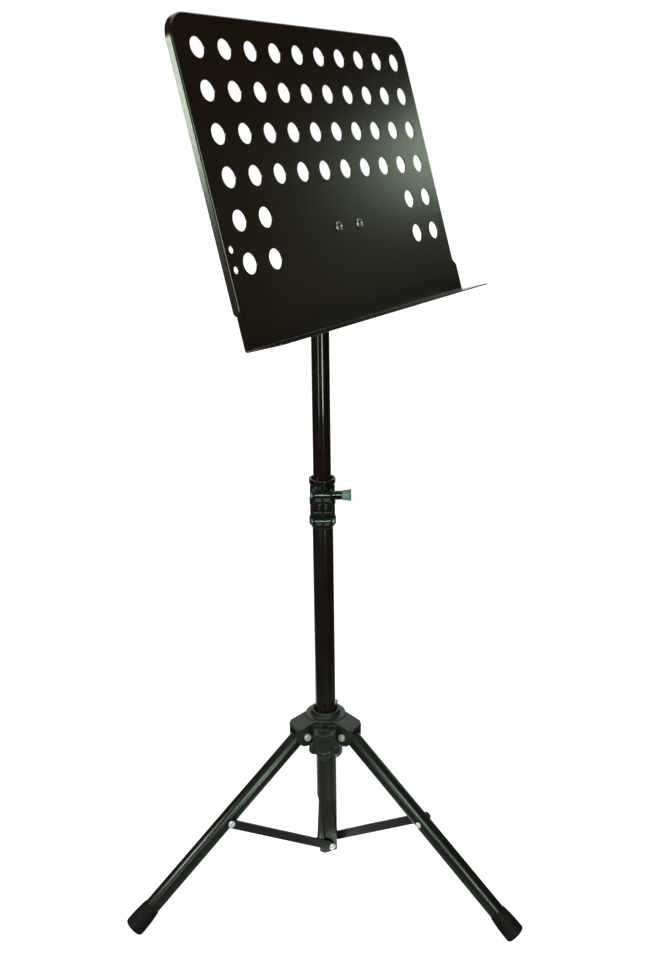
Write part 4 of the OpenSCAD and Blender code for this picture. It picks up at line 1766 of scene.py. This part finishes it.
        Bench.pick(cap, Element.FACES, flute)
        bpy.ops.mesh.inset(thickness=self.flute_gap * MM, depth=-self.flute_depth * MM, use_individual=False)
        Bench.rest()
        return Piece(Bench.placed(cap, self.knob_place), "height_clamp", Slot.KNOB, ("clamp_knob",), angle=28)

    def build(self, dresser: Dresser) -> None:
        """Builds and dresses the clamp's pieces."""
        for make in (self.collar, self.fixed_screw, self.nuts, self.stud, self.neck, self.knob):
            dresser.finish(make())


# ---------------------------------------------------------------- hub


@dataclass
class Hub:
    """Sliding three-armed hub with its bolts and its lock screw."""

    places: Places
    pivot_r: float = 33.0
    arm_w: float = 14.3
    reach: float = 46.0
    ear_r: float = 12.5
    roof_deg: float = 16.5
    roof_x: float = 21.0
    roof_top: float = 18.1
    disc_r: float = 25.0
    disc_low: float = 7.0
    sleeve_r: float = 18.5
    sleeve_low: float = 13.0
    collar_r: float = 17.6
    bore_r: float = 12.75
    slot_w: float = 9.8
    slot_r: float = 11.04
    slot_in: float = 12.2
    boss_reach: float = 34.0
    boss_w: float = 13.5
    boss_low: float = 15.0
    boss_top: float = 11.5
    lock_drop: float = 3.0
    bolt_r: float = 2.5
    bolt_head_r: float = 4.25
    nut_flats: float = 8.0
    stud_r: float = 2.5
    gap: float = 0.3
    knob_d: float = 39.0
    lobes: int = 5
    recess_r: float = 9.5
    knob_len: float = 12.5
    corner_cut: float = 3.2
    back_run: float = 3.6
    back_low: float = 1.8
    pocket: Tuple[float, float] = (24.2, 27.8)
    nut_at: float = 24.5
    stud_in: float = 13.1

    def arm(self) -> bpy.types.Object:
        """One arm about the leg pivot, with its sloping roof and rounded ear.

        Returns:
            The arm, reaching out along +X, with z zero at the pivots.
        """
        block = Bench.block("arm", (10, -self.arm_w, -3), (self.reach, self.arm_w, self.roof_top))
        ear = rod("ear", self.ear_r, -self.arm_w, self.arm_w, shift(self.pivot_r, 0, 0) @ TO_Y, vertices=64)
        Bench.fuse(block, ear)
        roof = Bench.placed(
            Bench.block("roof", (0, -25, 0), (70, 25, 30)),
            shift(self.roof_x, 0, self.roof_top) @ turn(self.roof_deg, Axis.Y),
        )
        Bench.cut(block, roof)
        for s in (-1, 1):
            corner = Bench.placed(
                Bench.block(
                    "corner",
                    (-self.corner_cut, -self.corner_cut, -20),
                    (self.corner_cut, self.corner_cut, 30),
                ),
                shift(self.reach, s * self.arm_w, 0) @ turn(45, Axis.Z),
            )
            Bench.cut(block, corner)
        return block

    def slot_tool(self) -> bpy.types.Object:
        """The room for the leg end under an arm's roof.

        Returns:
            The tool, with z zero at the pivots.
        """
        lift = self.slot_r / math.cos(math.radians(self.roof_deg))
        room = Bench.block(
            "slot", (self.pivot_r - self.slot_in, -self.slot_w, -40), (self.pivot_r + 48, self.slot_w, 30)
        )
        Bench.trim(room, (self.pivot_r, 0, lift), turn(self.roof_deg, Axis.Y) @ Vector((0, 0, 1)))
        slope = math.tan(math.radians(self.roof_deg))
        back = math.atan2(lift + (self.slot_in - self.back_run) * slope - self.back_low, self.back_run)
        Bench.trim(
            room,
            (self.pivot_r - self.slot_in, 0, self.back_low),
            Vector((-math.sin(back), 0, math.cos(back))),
        )
        return room

    def body(self) -> Piece:
        """The moulded hub."""
        hub = Bench.turned(
            "hub_moulded",
            [
                (-self.sleeve_low, self.sleeve_r),
                (self.disc_low, self.sleeve_r),
                (self.disc_low + 0.01, self.disc_r),
                (self.roof_top, self.disc_r),
                (self.roof_top + 0.01, self.collar_r + 1.2),
                (self.roof_top + 6, self.collar_r),
            ],
            vertices=96,
        )
        for side in Leg:
            Bench.fuse(hub, Bench.placed(self.arm(), turn(side.value, Axis.Z)))
        azimuth = math.degrees(self.places.lock.to_euler().z)
        boss = Bench.placed(
            Bench.block(
                "boss", (15, -self.boss_w, -self.boss_low), (self.boss_reach, self.boss_w, self.boss_top)
            ),
            turn(azimuth, Axis.Z),
        )
        Bench.fuse(hub, boss)
        Bench.cut(
            hub,
            Bench.turned(
                "bore", [(-self.sleeve_low - 2, self.bore_r), (self.roof_top + 10, self.bore_r)], vertices=96
            ),
        )
        Bench.cut(
            hub,
            Bench.turned(
                "funnel",
                [(self.roof_top + 2, self.bore_r), (self.roof_top + 6.4, self.collar_r - 1.8)],
                vertices=96,
            ),
        )
        for side in Leg:
            Bench.cut(hub, Bench.placed(self.slot_tool(), turn(side.value, Axis.Z)))
            Bench.cut(
                hub,
                rod(
                    "hole",
                    self.bolt_r + FIT,
                    -30,
                    30,
                    turn(side.value, Axis.Z) @ shift(self.pivot_r, 0, 0) @ TO_Y,
                    vertices=32,
                ),
            )
        Bench.cut(
            hub,
            rod(
                "hole",
                self.stud_r + FIT,
                10,
                40,
                turn(azimuth, Axis.Z) @ shift(0, 0, -self.lock_drop) @ TO_X,
                vertices=32,
            ),
        )
        half = self.nut_flats / 2 + 0.2
        Bench.cut(
            hub,
            Bench.placed(
                Bench.block(
                    "pocket",
                    (self.pocket[0], -half, -self.lock_drop - half - 0.4),
                    (self.pocket[1], half, 40),
                ),
                turn(azimuth, Axis.Z),
            ),
        )
        Bench.moulded(hub, voxel=0.6, rounds=3, keep=0.6)
        return Piece(
            Bench.placed(hub, shift(0, 0, self.places.pivot_z)), "hub", Slot.MOULDED, ("hub",), angle=50
        )

    def bolts(self) -> Piece:
        """Socket-head bolts that carry the legs."""
        head = SocketHead(radius=self.bolt_head_r, height=3.2, socket=4, depth=2.2).build("head")
        parts = []
        for side in Leg:
            place = turn(side.value, Axis.Z) @ shift(self.pivot_r, 0, self.places.pivot_z) @ TO_Y
            parts.append(Bench.placed(Bench.copy(head, "head"), place @ shift(0, 0, self.arm_w)))
            parts.append(rod("shank", self.bolt_r, -self.arm_w - 3.6, self.arm_w + 0.8, place, vertices=32))
        bpy.data.objects.remove(head)
        return Piece(Bench.join(parts, "hub_bolt_set"), "hub", Slot.ZINC, ("hub_bolts",))

    def nuts(self) -> Piece:
        """Yellow-passivated nuts of the leg bolts."""
        nut = HexNut(flats=self.nut_flats, height=3.2, bore=self.bolt_r + FIT).build("nut")
        parts = []
        for side in Leg:
            place = turn(side.value, Axis.Z) @ shift(
                self.pivot_r, -self.arm_w, self.places.pivot_z
            ) @ TO_MINUS_Y
            parts.append(Bench.placed(Bench.copy(nut, "nut"), place))
        bpy.data.objects.remove(nut)
        return Piece(Bench.join(parts, "hub_nut_set"), "hub", Slot.YELLOW, ("hub_nuts",))

    def lock(self) -> List[Piece]:
        """Captive nut, screw and five-lobed knob of the lock."""
        nut = Bench.placed(
            HexNut(flats=self.nut_flats, height=3, bore=self.stud_r + FIT).build("lock_nut_hex"),
            self.places.lock @ shift(self.nut_at, 0, 0) @ TO_X,
        )
        back = self.boss_reach + self.gap
        face = back + self.knob_len
        stud = Bench.turned(
            "lock_stud_screw",
            [(self.stud_in, self.stud_r - 0.5), (self.stud_in + 0.5, self.stud_r), (face - 3, self.stud_r)],
            vertices=40,
        )
        Bench.placed(stud, self.places.lock @ TO_X)
        r = self.knob_d / 2
        knob = Bench.turned(
            "lock_knob_lobed",
            [
                (back, 8.1),
                (back + 0.4, 8.5),
                (face - 10, 8.5),
                (face - 9.99, r - 5.6),
                (face - 9.3, r - 5),
                (face - 1, r - 5),
                *arc(face - 1, r - 5, r - 6.2, 1, steps=4),
            ],
            vertices=80,
        )
        for i in range(self.lobes):
            lobe = Bench.turned(
                "lobe",
                [
                    (face - 9.6, 5.4),
                    (face - 8.8, 6.2),
                    (face - 1.6, 6.2),
                    *arc(face - 1.6, 6.2, 5.0, 1.2, steps=4),
                ],
                vertices=48,
            )
            Bench.fuse(knob, Bench.placed(lobe, turn(360 / self.lobes * i, Axis.Z) @ shift(r - 6.2, 0, 0)))
        Bench.cut(
            knob,
            Bench.turned(
                "dish", [(face - 0.9, self.recess_r - 0.6), (face + 0.6, self.recess_r + 0.6)], vertices=64
            ),
        )
        Bench.cut(
            knob,
            Bench.turned(
                "bore", [(back - 1, self.stud_r + FIT), (face - 2.8, self.stud_r + FIT)], vertices=32
            ),
        )
        Bench.moulded(knob, voxel=0.4, rounds=3, keep=0.55)
        Bench.placed(knob, self.places.lock @ TO_X)
        return [
            Piece(nut, "hub", Slot.ZINC, ("lock_nut",)),
            Piece(stud, "hub_lock", Slot.ZINC, ("lock_stud",)),
            Piece(knob, "hub_lock", Slot.MOULDED, ("lock_knob",), angle=60),
        ]

    def build(self, dresser: Dresser) -> None:
        """Builds and dresses the hub's pieces."""
        for piece in (self.body(), self.bolts(), self.nuts(), *self.lock()):
            dresser.finish(piece)


# ---------------------------------------------------------------- tripod


@dataclass
class Tripod:
    """Legs with rubber feet, straps and rivets."""

    places: Places
    lean: float = 50.04
    pivot_r: float = 33.0
    leg_r: float = 9.5
    wall: float = 1.2
    over: float = 5.0
    length: float = 293.5
    foot_r: float = 12.2
    foot_len: float = 29.5
    bolt_r: float = 2.5
    brace_at: float = 134.3
    brace_w: float = 10.5
    brace_t: float = 3.0
    gap: float = 0.3
    rivet_r: float = 2.4
    rivet_head_r: float = 4.3
    leg_head_r: float = 3.6
    ribs: int = 28
    rib_depth: float = 0.3
    rib_gap: float = 0.12
    swell: float = 0.55
    swell_at: Sequence[float] = (0, 0.15, 0.35, 0.55, 0.75, 0.9, 1)

    @property
    def strap_in(self) -> float:
        """Distance of a strap's inner face from its leg's axis, mm."""
        return self.leg_r + self.gap + 0.2

    def leg_place(self, side: Leg) -> Matrix:
        """Frame of a leg: z along the tube from its pivot."""
        return turn(side.value, Axis.Z) @ shift(self.pivot_r, 0, self.places.pivot_z) @ turn(
            180 - self.lean, Axis.Y
        )

    def brace_line(self) -> Tuple[float, float]:
        """Length of a strap between its rivets, mm, and its rise, degrees."""
        lean = math.radians(self.lean)
        x = self.pivot_r + self.brace_at * math.sin(lean)
        z = self.places.pivot_z - self.brace_at * math.cos(lean) - self.places.brace_z
        return math.hypot(x, z), math.degrees(math.atan2(z, x))

    def brace_place(self, side: Leg) -> Matrix:
        """Frame of a strap: x along it from the mast rivet."""
        return turn(side.value, Axis.Z) @ shift(0, 0, self.places.brace_z) @ turn(
            -self.brace_line()[1], Axis.Y
        )

    def leg(self) -> bpy.types.Object:
        """The leg tube in its own frame."""
        end = self.length - 4
        tube = Bench.turned("leg", [(-self.over, self.leg_r), (end, self.leg_r)], vertices=80)
        Bench.cut(
            tube,
            Bench.turned(
                "bore",
                [(-self.over - 2, self.leg_r - self.wall), (end + 2, self.leg_r - self.wall)],
                vertices=80,
            ),
        )
        for z, r in ((0, self.bolt_r + FIT), (self.brace_at, self.rivet_r + FIT)):
            Bench.cut(tube, rod("hole", r, -20, 20, shift(0, 0, z) @ TO_Y, vertices=32))
        return Bench.soft_edges(tube, width=0.25, segments=2, angle=40)

    def foot(self) -> bpy.types.Object:
        """A ribbed rubber foot in the leg's frame."""
        z0, z1, r = self.length - self.foot_len, self.length, self.foot_r
        top = self.leg_r + 0.9
        swell = [
            (
                z0 + 1.2 + (self.foot_len - 3.4) * t,
                top + (r - 0.25 - top) * t + self.swell * math.sin(math.pi * t),
            )
            for t in self.swell_at
        ]
        body = Bench.turned(
            "foot",
            [
                (z0, top - 0.5),
                (z0 + 0.3, top - 0.05),
                *swell,
                (z1 - 2.0, r - 0.2),
                (z1 - 1.0, r - 0.2),
                *arc(z1 - 1.0, r - 0.2, r - 4.7, 3.6, steps=6),
            ],
            vertices=self.ribs * 4,
        )
        Bench.edit(body)
        step = 360 / (self.ribs * 4)

        def rib(f: bmesh.types.BMFace) -> bool:
            """Two of every four side faces, between the collar and the rim."""
            c = f.calc_center_median()
            if not (z0 + 1.3) * MM < c.z < (z1 - 2.2) * MM or abs(f.normal.z) > 0.5:
                return False
            return int(Bench.azimuth(f) / step) % 4 in (0, 1)

        Bench.pick(body, Element.FACES, rib)
        bpy.ops.mesh.inset(thickness=self.rib_gap * MM, depth=-self.rib_depth * MM, use_individual=False)
        Bench.rest()
        Bench.cut(
            body, Bench.turned("bore", [(z0 - 1, self.leg_r + FIT), (z1 - 4, self.leg_r + FIT)], vertices=80)
        )
        return body

    def grounded(self, obj: bpy.types.Object) -> bpy.types.Object:
        """Flattens a foot where it stands on the floor.

        Args:
            obj: the foot, in place.

        Returns:
            The foot with its sole cut level.
        """
        Bench.edit(obj)
        bpy.ops.mesh.select_all(action="SELECT")
        bpy.ops.mesh.bisect(
            plane_co=(0, 0, 0), plane_no=(0, 0, 1), use_fill=True, clear_inner=True, threshold=MERGE
        )
        Bench.rest()
        return obj

    def leg_rivet(self) -> bpy.types.Object:
        """Rivet through the leg, with its domed head, in the leg's frame."""
        head = Bench.placed(
            DomeHead(radius=self.leg_head_r, height=1.5).build("head"),
            shift(0, -self.leg_r, self.brace_at) @ TO_MINUS_Y,
        )
        shank = rod(
            "shank",
            self.rivet_r,
            -self.leg_r - 0.4,
            self.leg_r + 0.2,
            shift(0, 0, self.brace_at) @ TO_Y,
            vertices=32,
        )
        return Bench.join([head, shank], "leg_rivet")

    def strap(self) -> bpy.types.Object:
        """A strap with rounded ends and softened long edges, in its own frame."""
        length = self.brace_line()[0]
        y0 = self.strap_in
        half = self.brace_w / 2
        bar = Bench.block("strap", (-half, y0, -half), (length + half, y0 + self.brace_t, half))
        Bench.edit(bar)
        Bench.pick(bar, Element.EDGES, lambda e: Bench.runs_along(e, Axis.Y))
        Bench.round_off(half * 0.998, steps=12)
        Bench.rest()
        Bench.cut(
            bar,
            rod("hole", self.rivet_r + FIT, 0, 30, TO_Y, vertices=32),
            rod("hole", self.rivet_r + FIT, 0, 30, shift(length, 0, 0) @ TO_Y, vertices=32),
        )
        return Bench.soft_edges(bar, width=0.55, segments=3, angle=40)

    def cap(self) -> bpy.types.Object:
        """The strap rivet's outer head, in the strap's frame."""
        length = self.brace_line()[0]
        y0 = self.strap_in
        place = shift(length, 0, 0) @ TO_Y
        head = Bench.placed(
            DomeHead(radius=self.rivet_head_r, height=1.9).build("cap"),
            place @ shift(0, 0, y0 + self.brace_t),
        )
        shank = rod("shank", self.rivet_r, y0 + 0.2, y0 + self.brace_t + 0.4, place, vertices=32)
        return Bench.join([head, shank], "cap")

    def build(self, dresser: Dresser) -> None:
        """Models each piece once and copies it to the three sides."""
        masters = {
            "leg": self.leg(),
            "foot": self.foot(),
            "rivet": self.leg_rivet(),
            "strap": self.strap(),
            "cap": self.cap(),
        }
        for side in Leg:
            s = side.label
            at_leg, at_brace = self.leg_place(side), self.brace_place(side)
            tube = Bench.placed(Bench.copy(masters["leg"], f"leg_{s}_tube"), at_leg)
            foot = self.grounded(Bench.placed(Bench.copy(masters["foot"], f"foot_{s}_rubber"), at_leg))
            rivet = Bench.placed(Bench.copy(masters["rivet"], f"leg_{s}_rivet"), at_leg)
            strap = Bench.placed(Bench.copy(masters["strap"], f"brace_{s}_strap"), at_brace)
            cap = Bench.placed(Bench.copy(masters["cap"], f"brace_{s}_cap"), at_brace)
            for piece in (
                Piece(tube, f"leg_{s}", Slot.LEG, (f"leg_{s}",)),
                Piece(foot, f"leg_{s}", Slot.RUBBER, (f"foot_{s}",), angle=40),
                Piece(rivet, f"leg_{s}", Slot.ZINC, (f"leg_rivet_{s}",)),
                Piece(strap, f"brace_{s}", Slot.STRAP, (f"brace_{s}",), angle=40, level=True),
                Piece(cap, f"brace_{s}", Slot.ZINC, (f"brace_cap_{s}",)),
            ):
                dresser.finish(piece)
        for master in masters.values():
            bpy.data.objects.remove(master)


# ---------------------------------------------------------------- studio


@dataclass
class Lamp:
    """A soft box: where it hangs, what it faces and how bright its face is."""

    name: str
    place: Vector
    target: Vector
    size: Tuple[float, float]
    power: float
    colour: Colour = PLAIN

    def hang(self) -> None:
        """Makes the light."""
        data = bpy.data.lights.new(self.name, "AREA")
        data.shape = "RECTANGLE"
        data.size, data.size_y = self.size
        data.energy = self.power
        data.color = self.colour
        obj = bpy.data.objects.new(self.name, data)
        bpy.context.scene.collection.objects.link(obj)
        way = self.target - self.place
        obj.location = self.place
        obj.rotation_euler = way.to_track_quat("-Z", "Y").to_euler()
        obj.visible_camera = False


@dataclass
class Studio:
    """Pale floor, white surround, soft lights and the camera."""

    eye: Vector = field(default_factory=lambda: Vector((-1.0812, -0.6979, 0.93576)))
    heading: Vector = field(default_factory=lambda: Vector((0.8428, 0.5382, 0)))
    pitch: float = 10.713
    roll: float = 0.786
    lens: float = 42.08
    rise: float = -0.14646
    sensor: float = 36.0
    clip: Tuple[float, float] = (0.05, 60.0)
    surround: float = 1.0
    fill: float = 0.78
    sky: Colour = (0.96, 0.98, 1.0)
    floor_size: float = 24.0
    floor_tone: Colour = (0.5, 0.5, 0.5)
    floor_glow: float = 0.8
    flag_r: float = 3.2
    flag_near: float = 0.06
    flag_top: float = 8.0
    flag_arc: Tuple[float, float] = (66.0, 357.0)
    flag_level: float = 0.015
    flag_glow: float = 0.45
    flag_fade: float = 0.5
    flag_lift: float = 0.003
    flag_tone: Colour = (0.9, 1.0, 0.92)

    def camera(self) -> None:
        """Sets up the camera."""
        data = bpy.data.cameras.new("camera")
        data.sensor_width = self.sensor
        data.sensor_fit = "AUTO"
        data.lens = self.lens
        data.shift_y = self.rise
        data.clip_start, data.clip_end = self.clip
        obj = bpy.data.objects.new("camera", data)
        bpy.context.scene.collection.objects.link(obj)
        p, r = math.radians(self.pitch), math.radians(self.roll)
        ahead = Vector(
            (self.heading.x * math.cos(p), self.heading.y * math.cos(p), -math.sin(p))
        ).normalized()
        right = Vector((self.heading.y, -self.heading.x, 0)).normalized()
        down = ahead.cross(right)
        right, down = right * math.cos(r) + down * math.sin(r), down * math.cos(r) - right * math.sin(r)
        basis = Matrix((right, -down, -ahead)).transposed().to_4x4()
        obj.matrix_world = Matrix.Translation(self.eye) @ basis
        bpy.context.scene.camera = obj

    def world(self) -> None:
        """White surround for the eye and for gloss, a plainer one for soft light."""
        world = bpy.data.worlds.new("surround")
        bpy.context.scene.world = world
        graph = Graph(world)
        out = graph.node("ShaderNodeOutputWorld")
        bright = graph.node("ShaderNodeBackground")
        graph.fill(bright, Color=(1, 1, 1, 1), Strength=self.surround)
        soft = graph.node("ShaderNodeBackground")
        graph.fill(soft, Color=(*self.sky, 1), Strength=self.fill)
        mix = graph.node("ShaderNodeMixShader")
        graph.link(graph.seen(), mix.inputs[0])
        graph.link(soft.outputs[0], mix.inputs[1])
        graph.link(bright.outputs[0], mix.inputs[2])
        graph.link(mix.outputs[0], out.inputs["Surface"])

    def floor(self) -> None:
        """Pale floor that keeps a faint shadow."""
        Bench.rest()
        bpy.ops.mesh.primitive_plane_add(size=self.floor_size, location=(0, 0, 0))
        obj = Bench.named("studio_floor")
        material = bpy.data.materials.new("studio_floor")
        graph = Graph(material)
        out = graph.node("ShaderNodeOutputMaterial")
        matt = graph.node("ShaderNodeBsdfDiffuse")
        graph.fill(matt, Color=(*self.floor_tone, 1))
        glow = graph.node("ShaderNodeEmission")
        graph.fill(glow, Color=(1, 1, 1, 1))
        level = graph.node("ShaderNodeMath", operation="MULTIPLY")
        level.inputs[1].default_value = self.floor_glow
        add = graph.node("ShaderNodeAddShader")
        graph.link(graph.seen(), level.inputs[0])
        graph.link(level.outputs[0], glow.inputs["Strength"])
        graph.link(matt.outputs[0], add.inputs[0])
        graph.link(glow.outputs[0], add.inputs[1])
        graph.link(add.outputs[0], out.inputs["Surface"])
        obj.data.materials.append(material)

    def flag(self, obj: bpy.types.Object, level: float, near: float = 0.0) -> None:
        """Makes a card that only reflections see.

        Args:
            obj: the card.
            level: how bright it is.
            near: how bright it is beside the stand, from where it fades to level;
                0 for a card of one tone.
        """
        material = bpy.data.materials.new(obj.name)
        graph = Graph(material)
        out = graph.node("ShaderNodeOutputMaterial")
        glow = graph.node("ShaderNodeEmission")
        graph.fill(glow, Color=(*self.flag_tone, 1), Strength=level)
        if near:
            spot = graph.node("ShaderNodeTexCoord")
            reach = graph.node("ShaderNodeVectorMath", operation="LENGTH")
            fade = graph.node("ShaderNodeMapRange")
            graph.fill(fade, From_Min=self.flag_near, From_Max=self.flag_fade, To_Min=near, To_Max=level)
            graph.link(spot.outputs["Object"], reach.inputs[0])
            graph.link(reach.outputs["Value"], fade.inputs["Value"])
            graph.link(fade.outputs["Result"], glow.inputs["Strength"])
        graph.link(glow.outputs[0], out.inputs["Surface"])
        obj.data.materials.append(material)
        for ray in ("camera", "diffuse", "shadow", "transmission"):
            setattr(obj, f"visible_{ray}", False)

    def open_side(self, card: bpy.types.Object) -> None:
        """Cuts away what lies outside the dark arc, and leaves edit mode."""
        low, high = self.flag_arc
        Bench.pick(card, Element.FACES, lambda f: not low < Bench.azimuth(f) < high)
        bpy.ops.mesh.delete(type="FACE")
        Bench.rest()

    def flags(self) -> None:
        """Hangs dark cards round the camera's side, so that black coats stay black."""
        Bench.rest()
        bpy.ops.mesh.primitive_cylinder_add(
            vertices=72,
            radius=self.flag_r,
            depth=self.flag_top + 1,
            end_fill_type="NOTHING",
            location=(0, 0, (self.flag_top - 1) / 2),
        )
        wall = Bench.named("flag_wall")
        Bench.edit(wall)
        self.open_side(wall)
        self.flag(wall, self.flag_level)
        bpy.ops.mesh.primitive_circle_add(
            vertices=72, radius=self.flag_near, fill_type="NOTHING", location=(0, 0, self.flag_lift)
        )
        ring = Bench.named("flag_floor")
        Bench.edit(ring)
        bpy.ops.mesh.select_all(action="SELECT")
        bpy.ops.mesh.extrude_edges_move()
        grow = self.flag_r / self.flag_near
        bpy.ops.transform.resize(value=(grow, grow, 1), center_override=(0, 0, 0))
        self.open_side(ring)
        self.flag(ring, self.flag_level, self.flag_glow)

    def lights(self) -> None:
        """Hangs the soft boxes."""
        desk = Vector((0, -0.05, 0.9))
        hub = Vector((0, 0, 0.2))
        tube = Vector((0, 0, 0.66))
        for lamp in (
            Lamp(
                "edge_strip",
                Vector((-1.38, 0.86, 1.08)),
                Vector((-0.23, 0, 0.96)),
                size=(0.4, 0.46),
                power=14.5,
                colour=(1.0, 0.94, 0.9),
            ),
            Lamp(
                "sheen_box",
                Vector((2.2, -0.82, 1.345)),
                Vector((0.2, -0.05, 0.87)),
                size=(0.4, 0.26),
                power=1.4,
                colour=(0.82, 1.0, 0.78),
            ),
            Lamp(
                "low_card",
                Vector((1.95, -1.1, 1.1)),
                Vector((0, -0.08, 0.8)),
                size=(0.9, 0.25),
                power=0.13,
                colour=(0.9, 1.0, 0.86),
            ),
            Lamp(
                "tube_strip",
                Vector((-0.87, -1.22, 0.5)),
                tube,
                size=(0.24, 0.4),
                power=5.4,
                colour=(0.86, 1.0, 0.92),
            ),
            Lamp(
                "tube_strip_left",
                Vector((-1.49, -0.12, 0.5)),
                tube,
                size=(0.16, 0.4),
                power=1.6,
                colour=(0.86, 1.0, 0.92),
            ),
            Lamp(
                "front_box",
                Vector((-1.39, -0.88, 1.2)),
                hub,
                size=(0.42, 0.5),
                power=8.5,
                colour=(0.84, 1.0, 0.93),
            ),
            Lamp(
                "leg_card",
                Vector((-1.95, -1.2, 1.55)),
                hub,
                size=(1.5, 1.2),
                power=12,
                colour=(0.74, 1.0, 0.92),
            ),
            Lamp("top_box", Vector((0.3, 0.6, 3.2)), desk, size=(1.8, 1.8), power=13.5),
        ):
            lamp.hang()

    def build(self) -> None:
        """Sets up the whole studio."""
        self.camera()
        self.world()
        self.floor()
        self.flags()
        self.lights()
        bpy.context.scene.view_settings.view_transform = "Standard"


def main() -> None:
    """Builds the stand and its studio."""
    logging.basicConfig(level=logging.INFO, format="%(name)s: %(message)s")
    Studio().build()
    dresser = Dresser(Finishes())
    places = Places.from_record(MusicDesk.tilt_back, MusicDesk.tilt_up)
    for assembly in (
        MusicDesk(places),
        TiltJoint(places),
        Mast(),
        HeightClamp(places),
        Hub(places),
        Tripod(places),
    ):
        assembly.build(dresser)
        log.info("%s done", type(assembly).__name__)
    Bench.rest()
    log.info("%d pieces dressed", dresser.count)


if __name__ == "__main__":
    main()
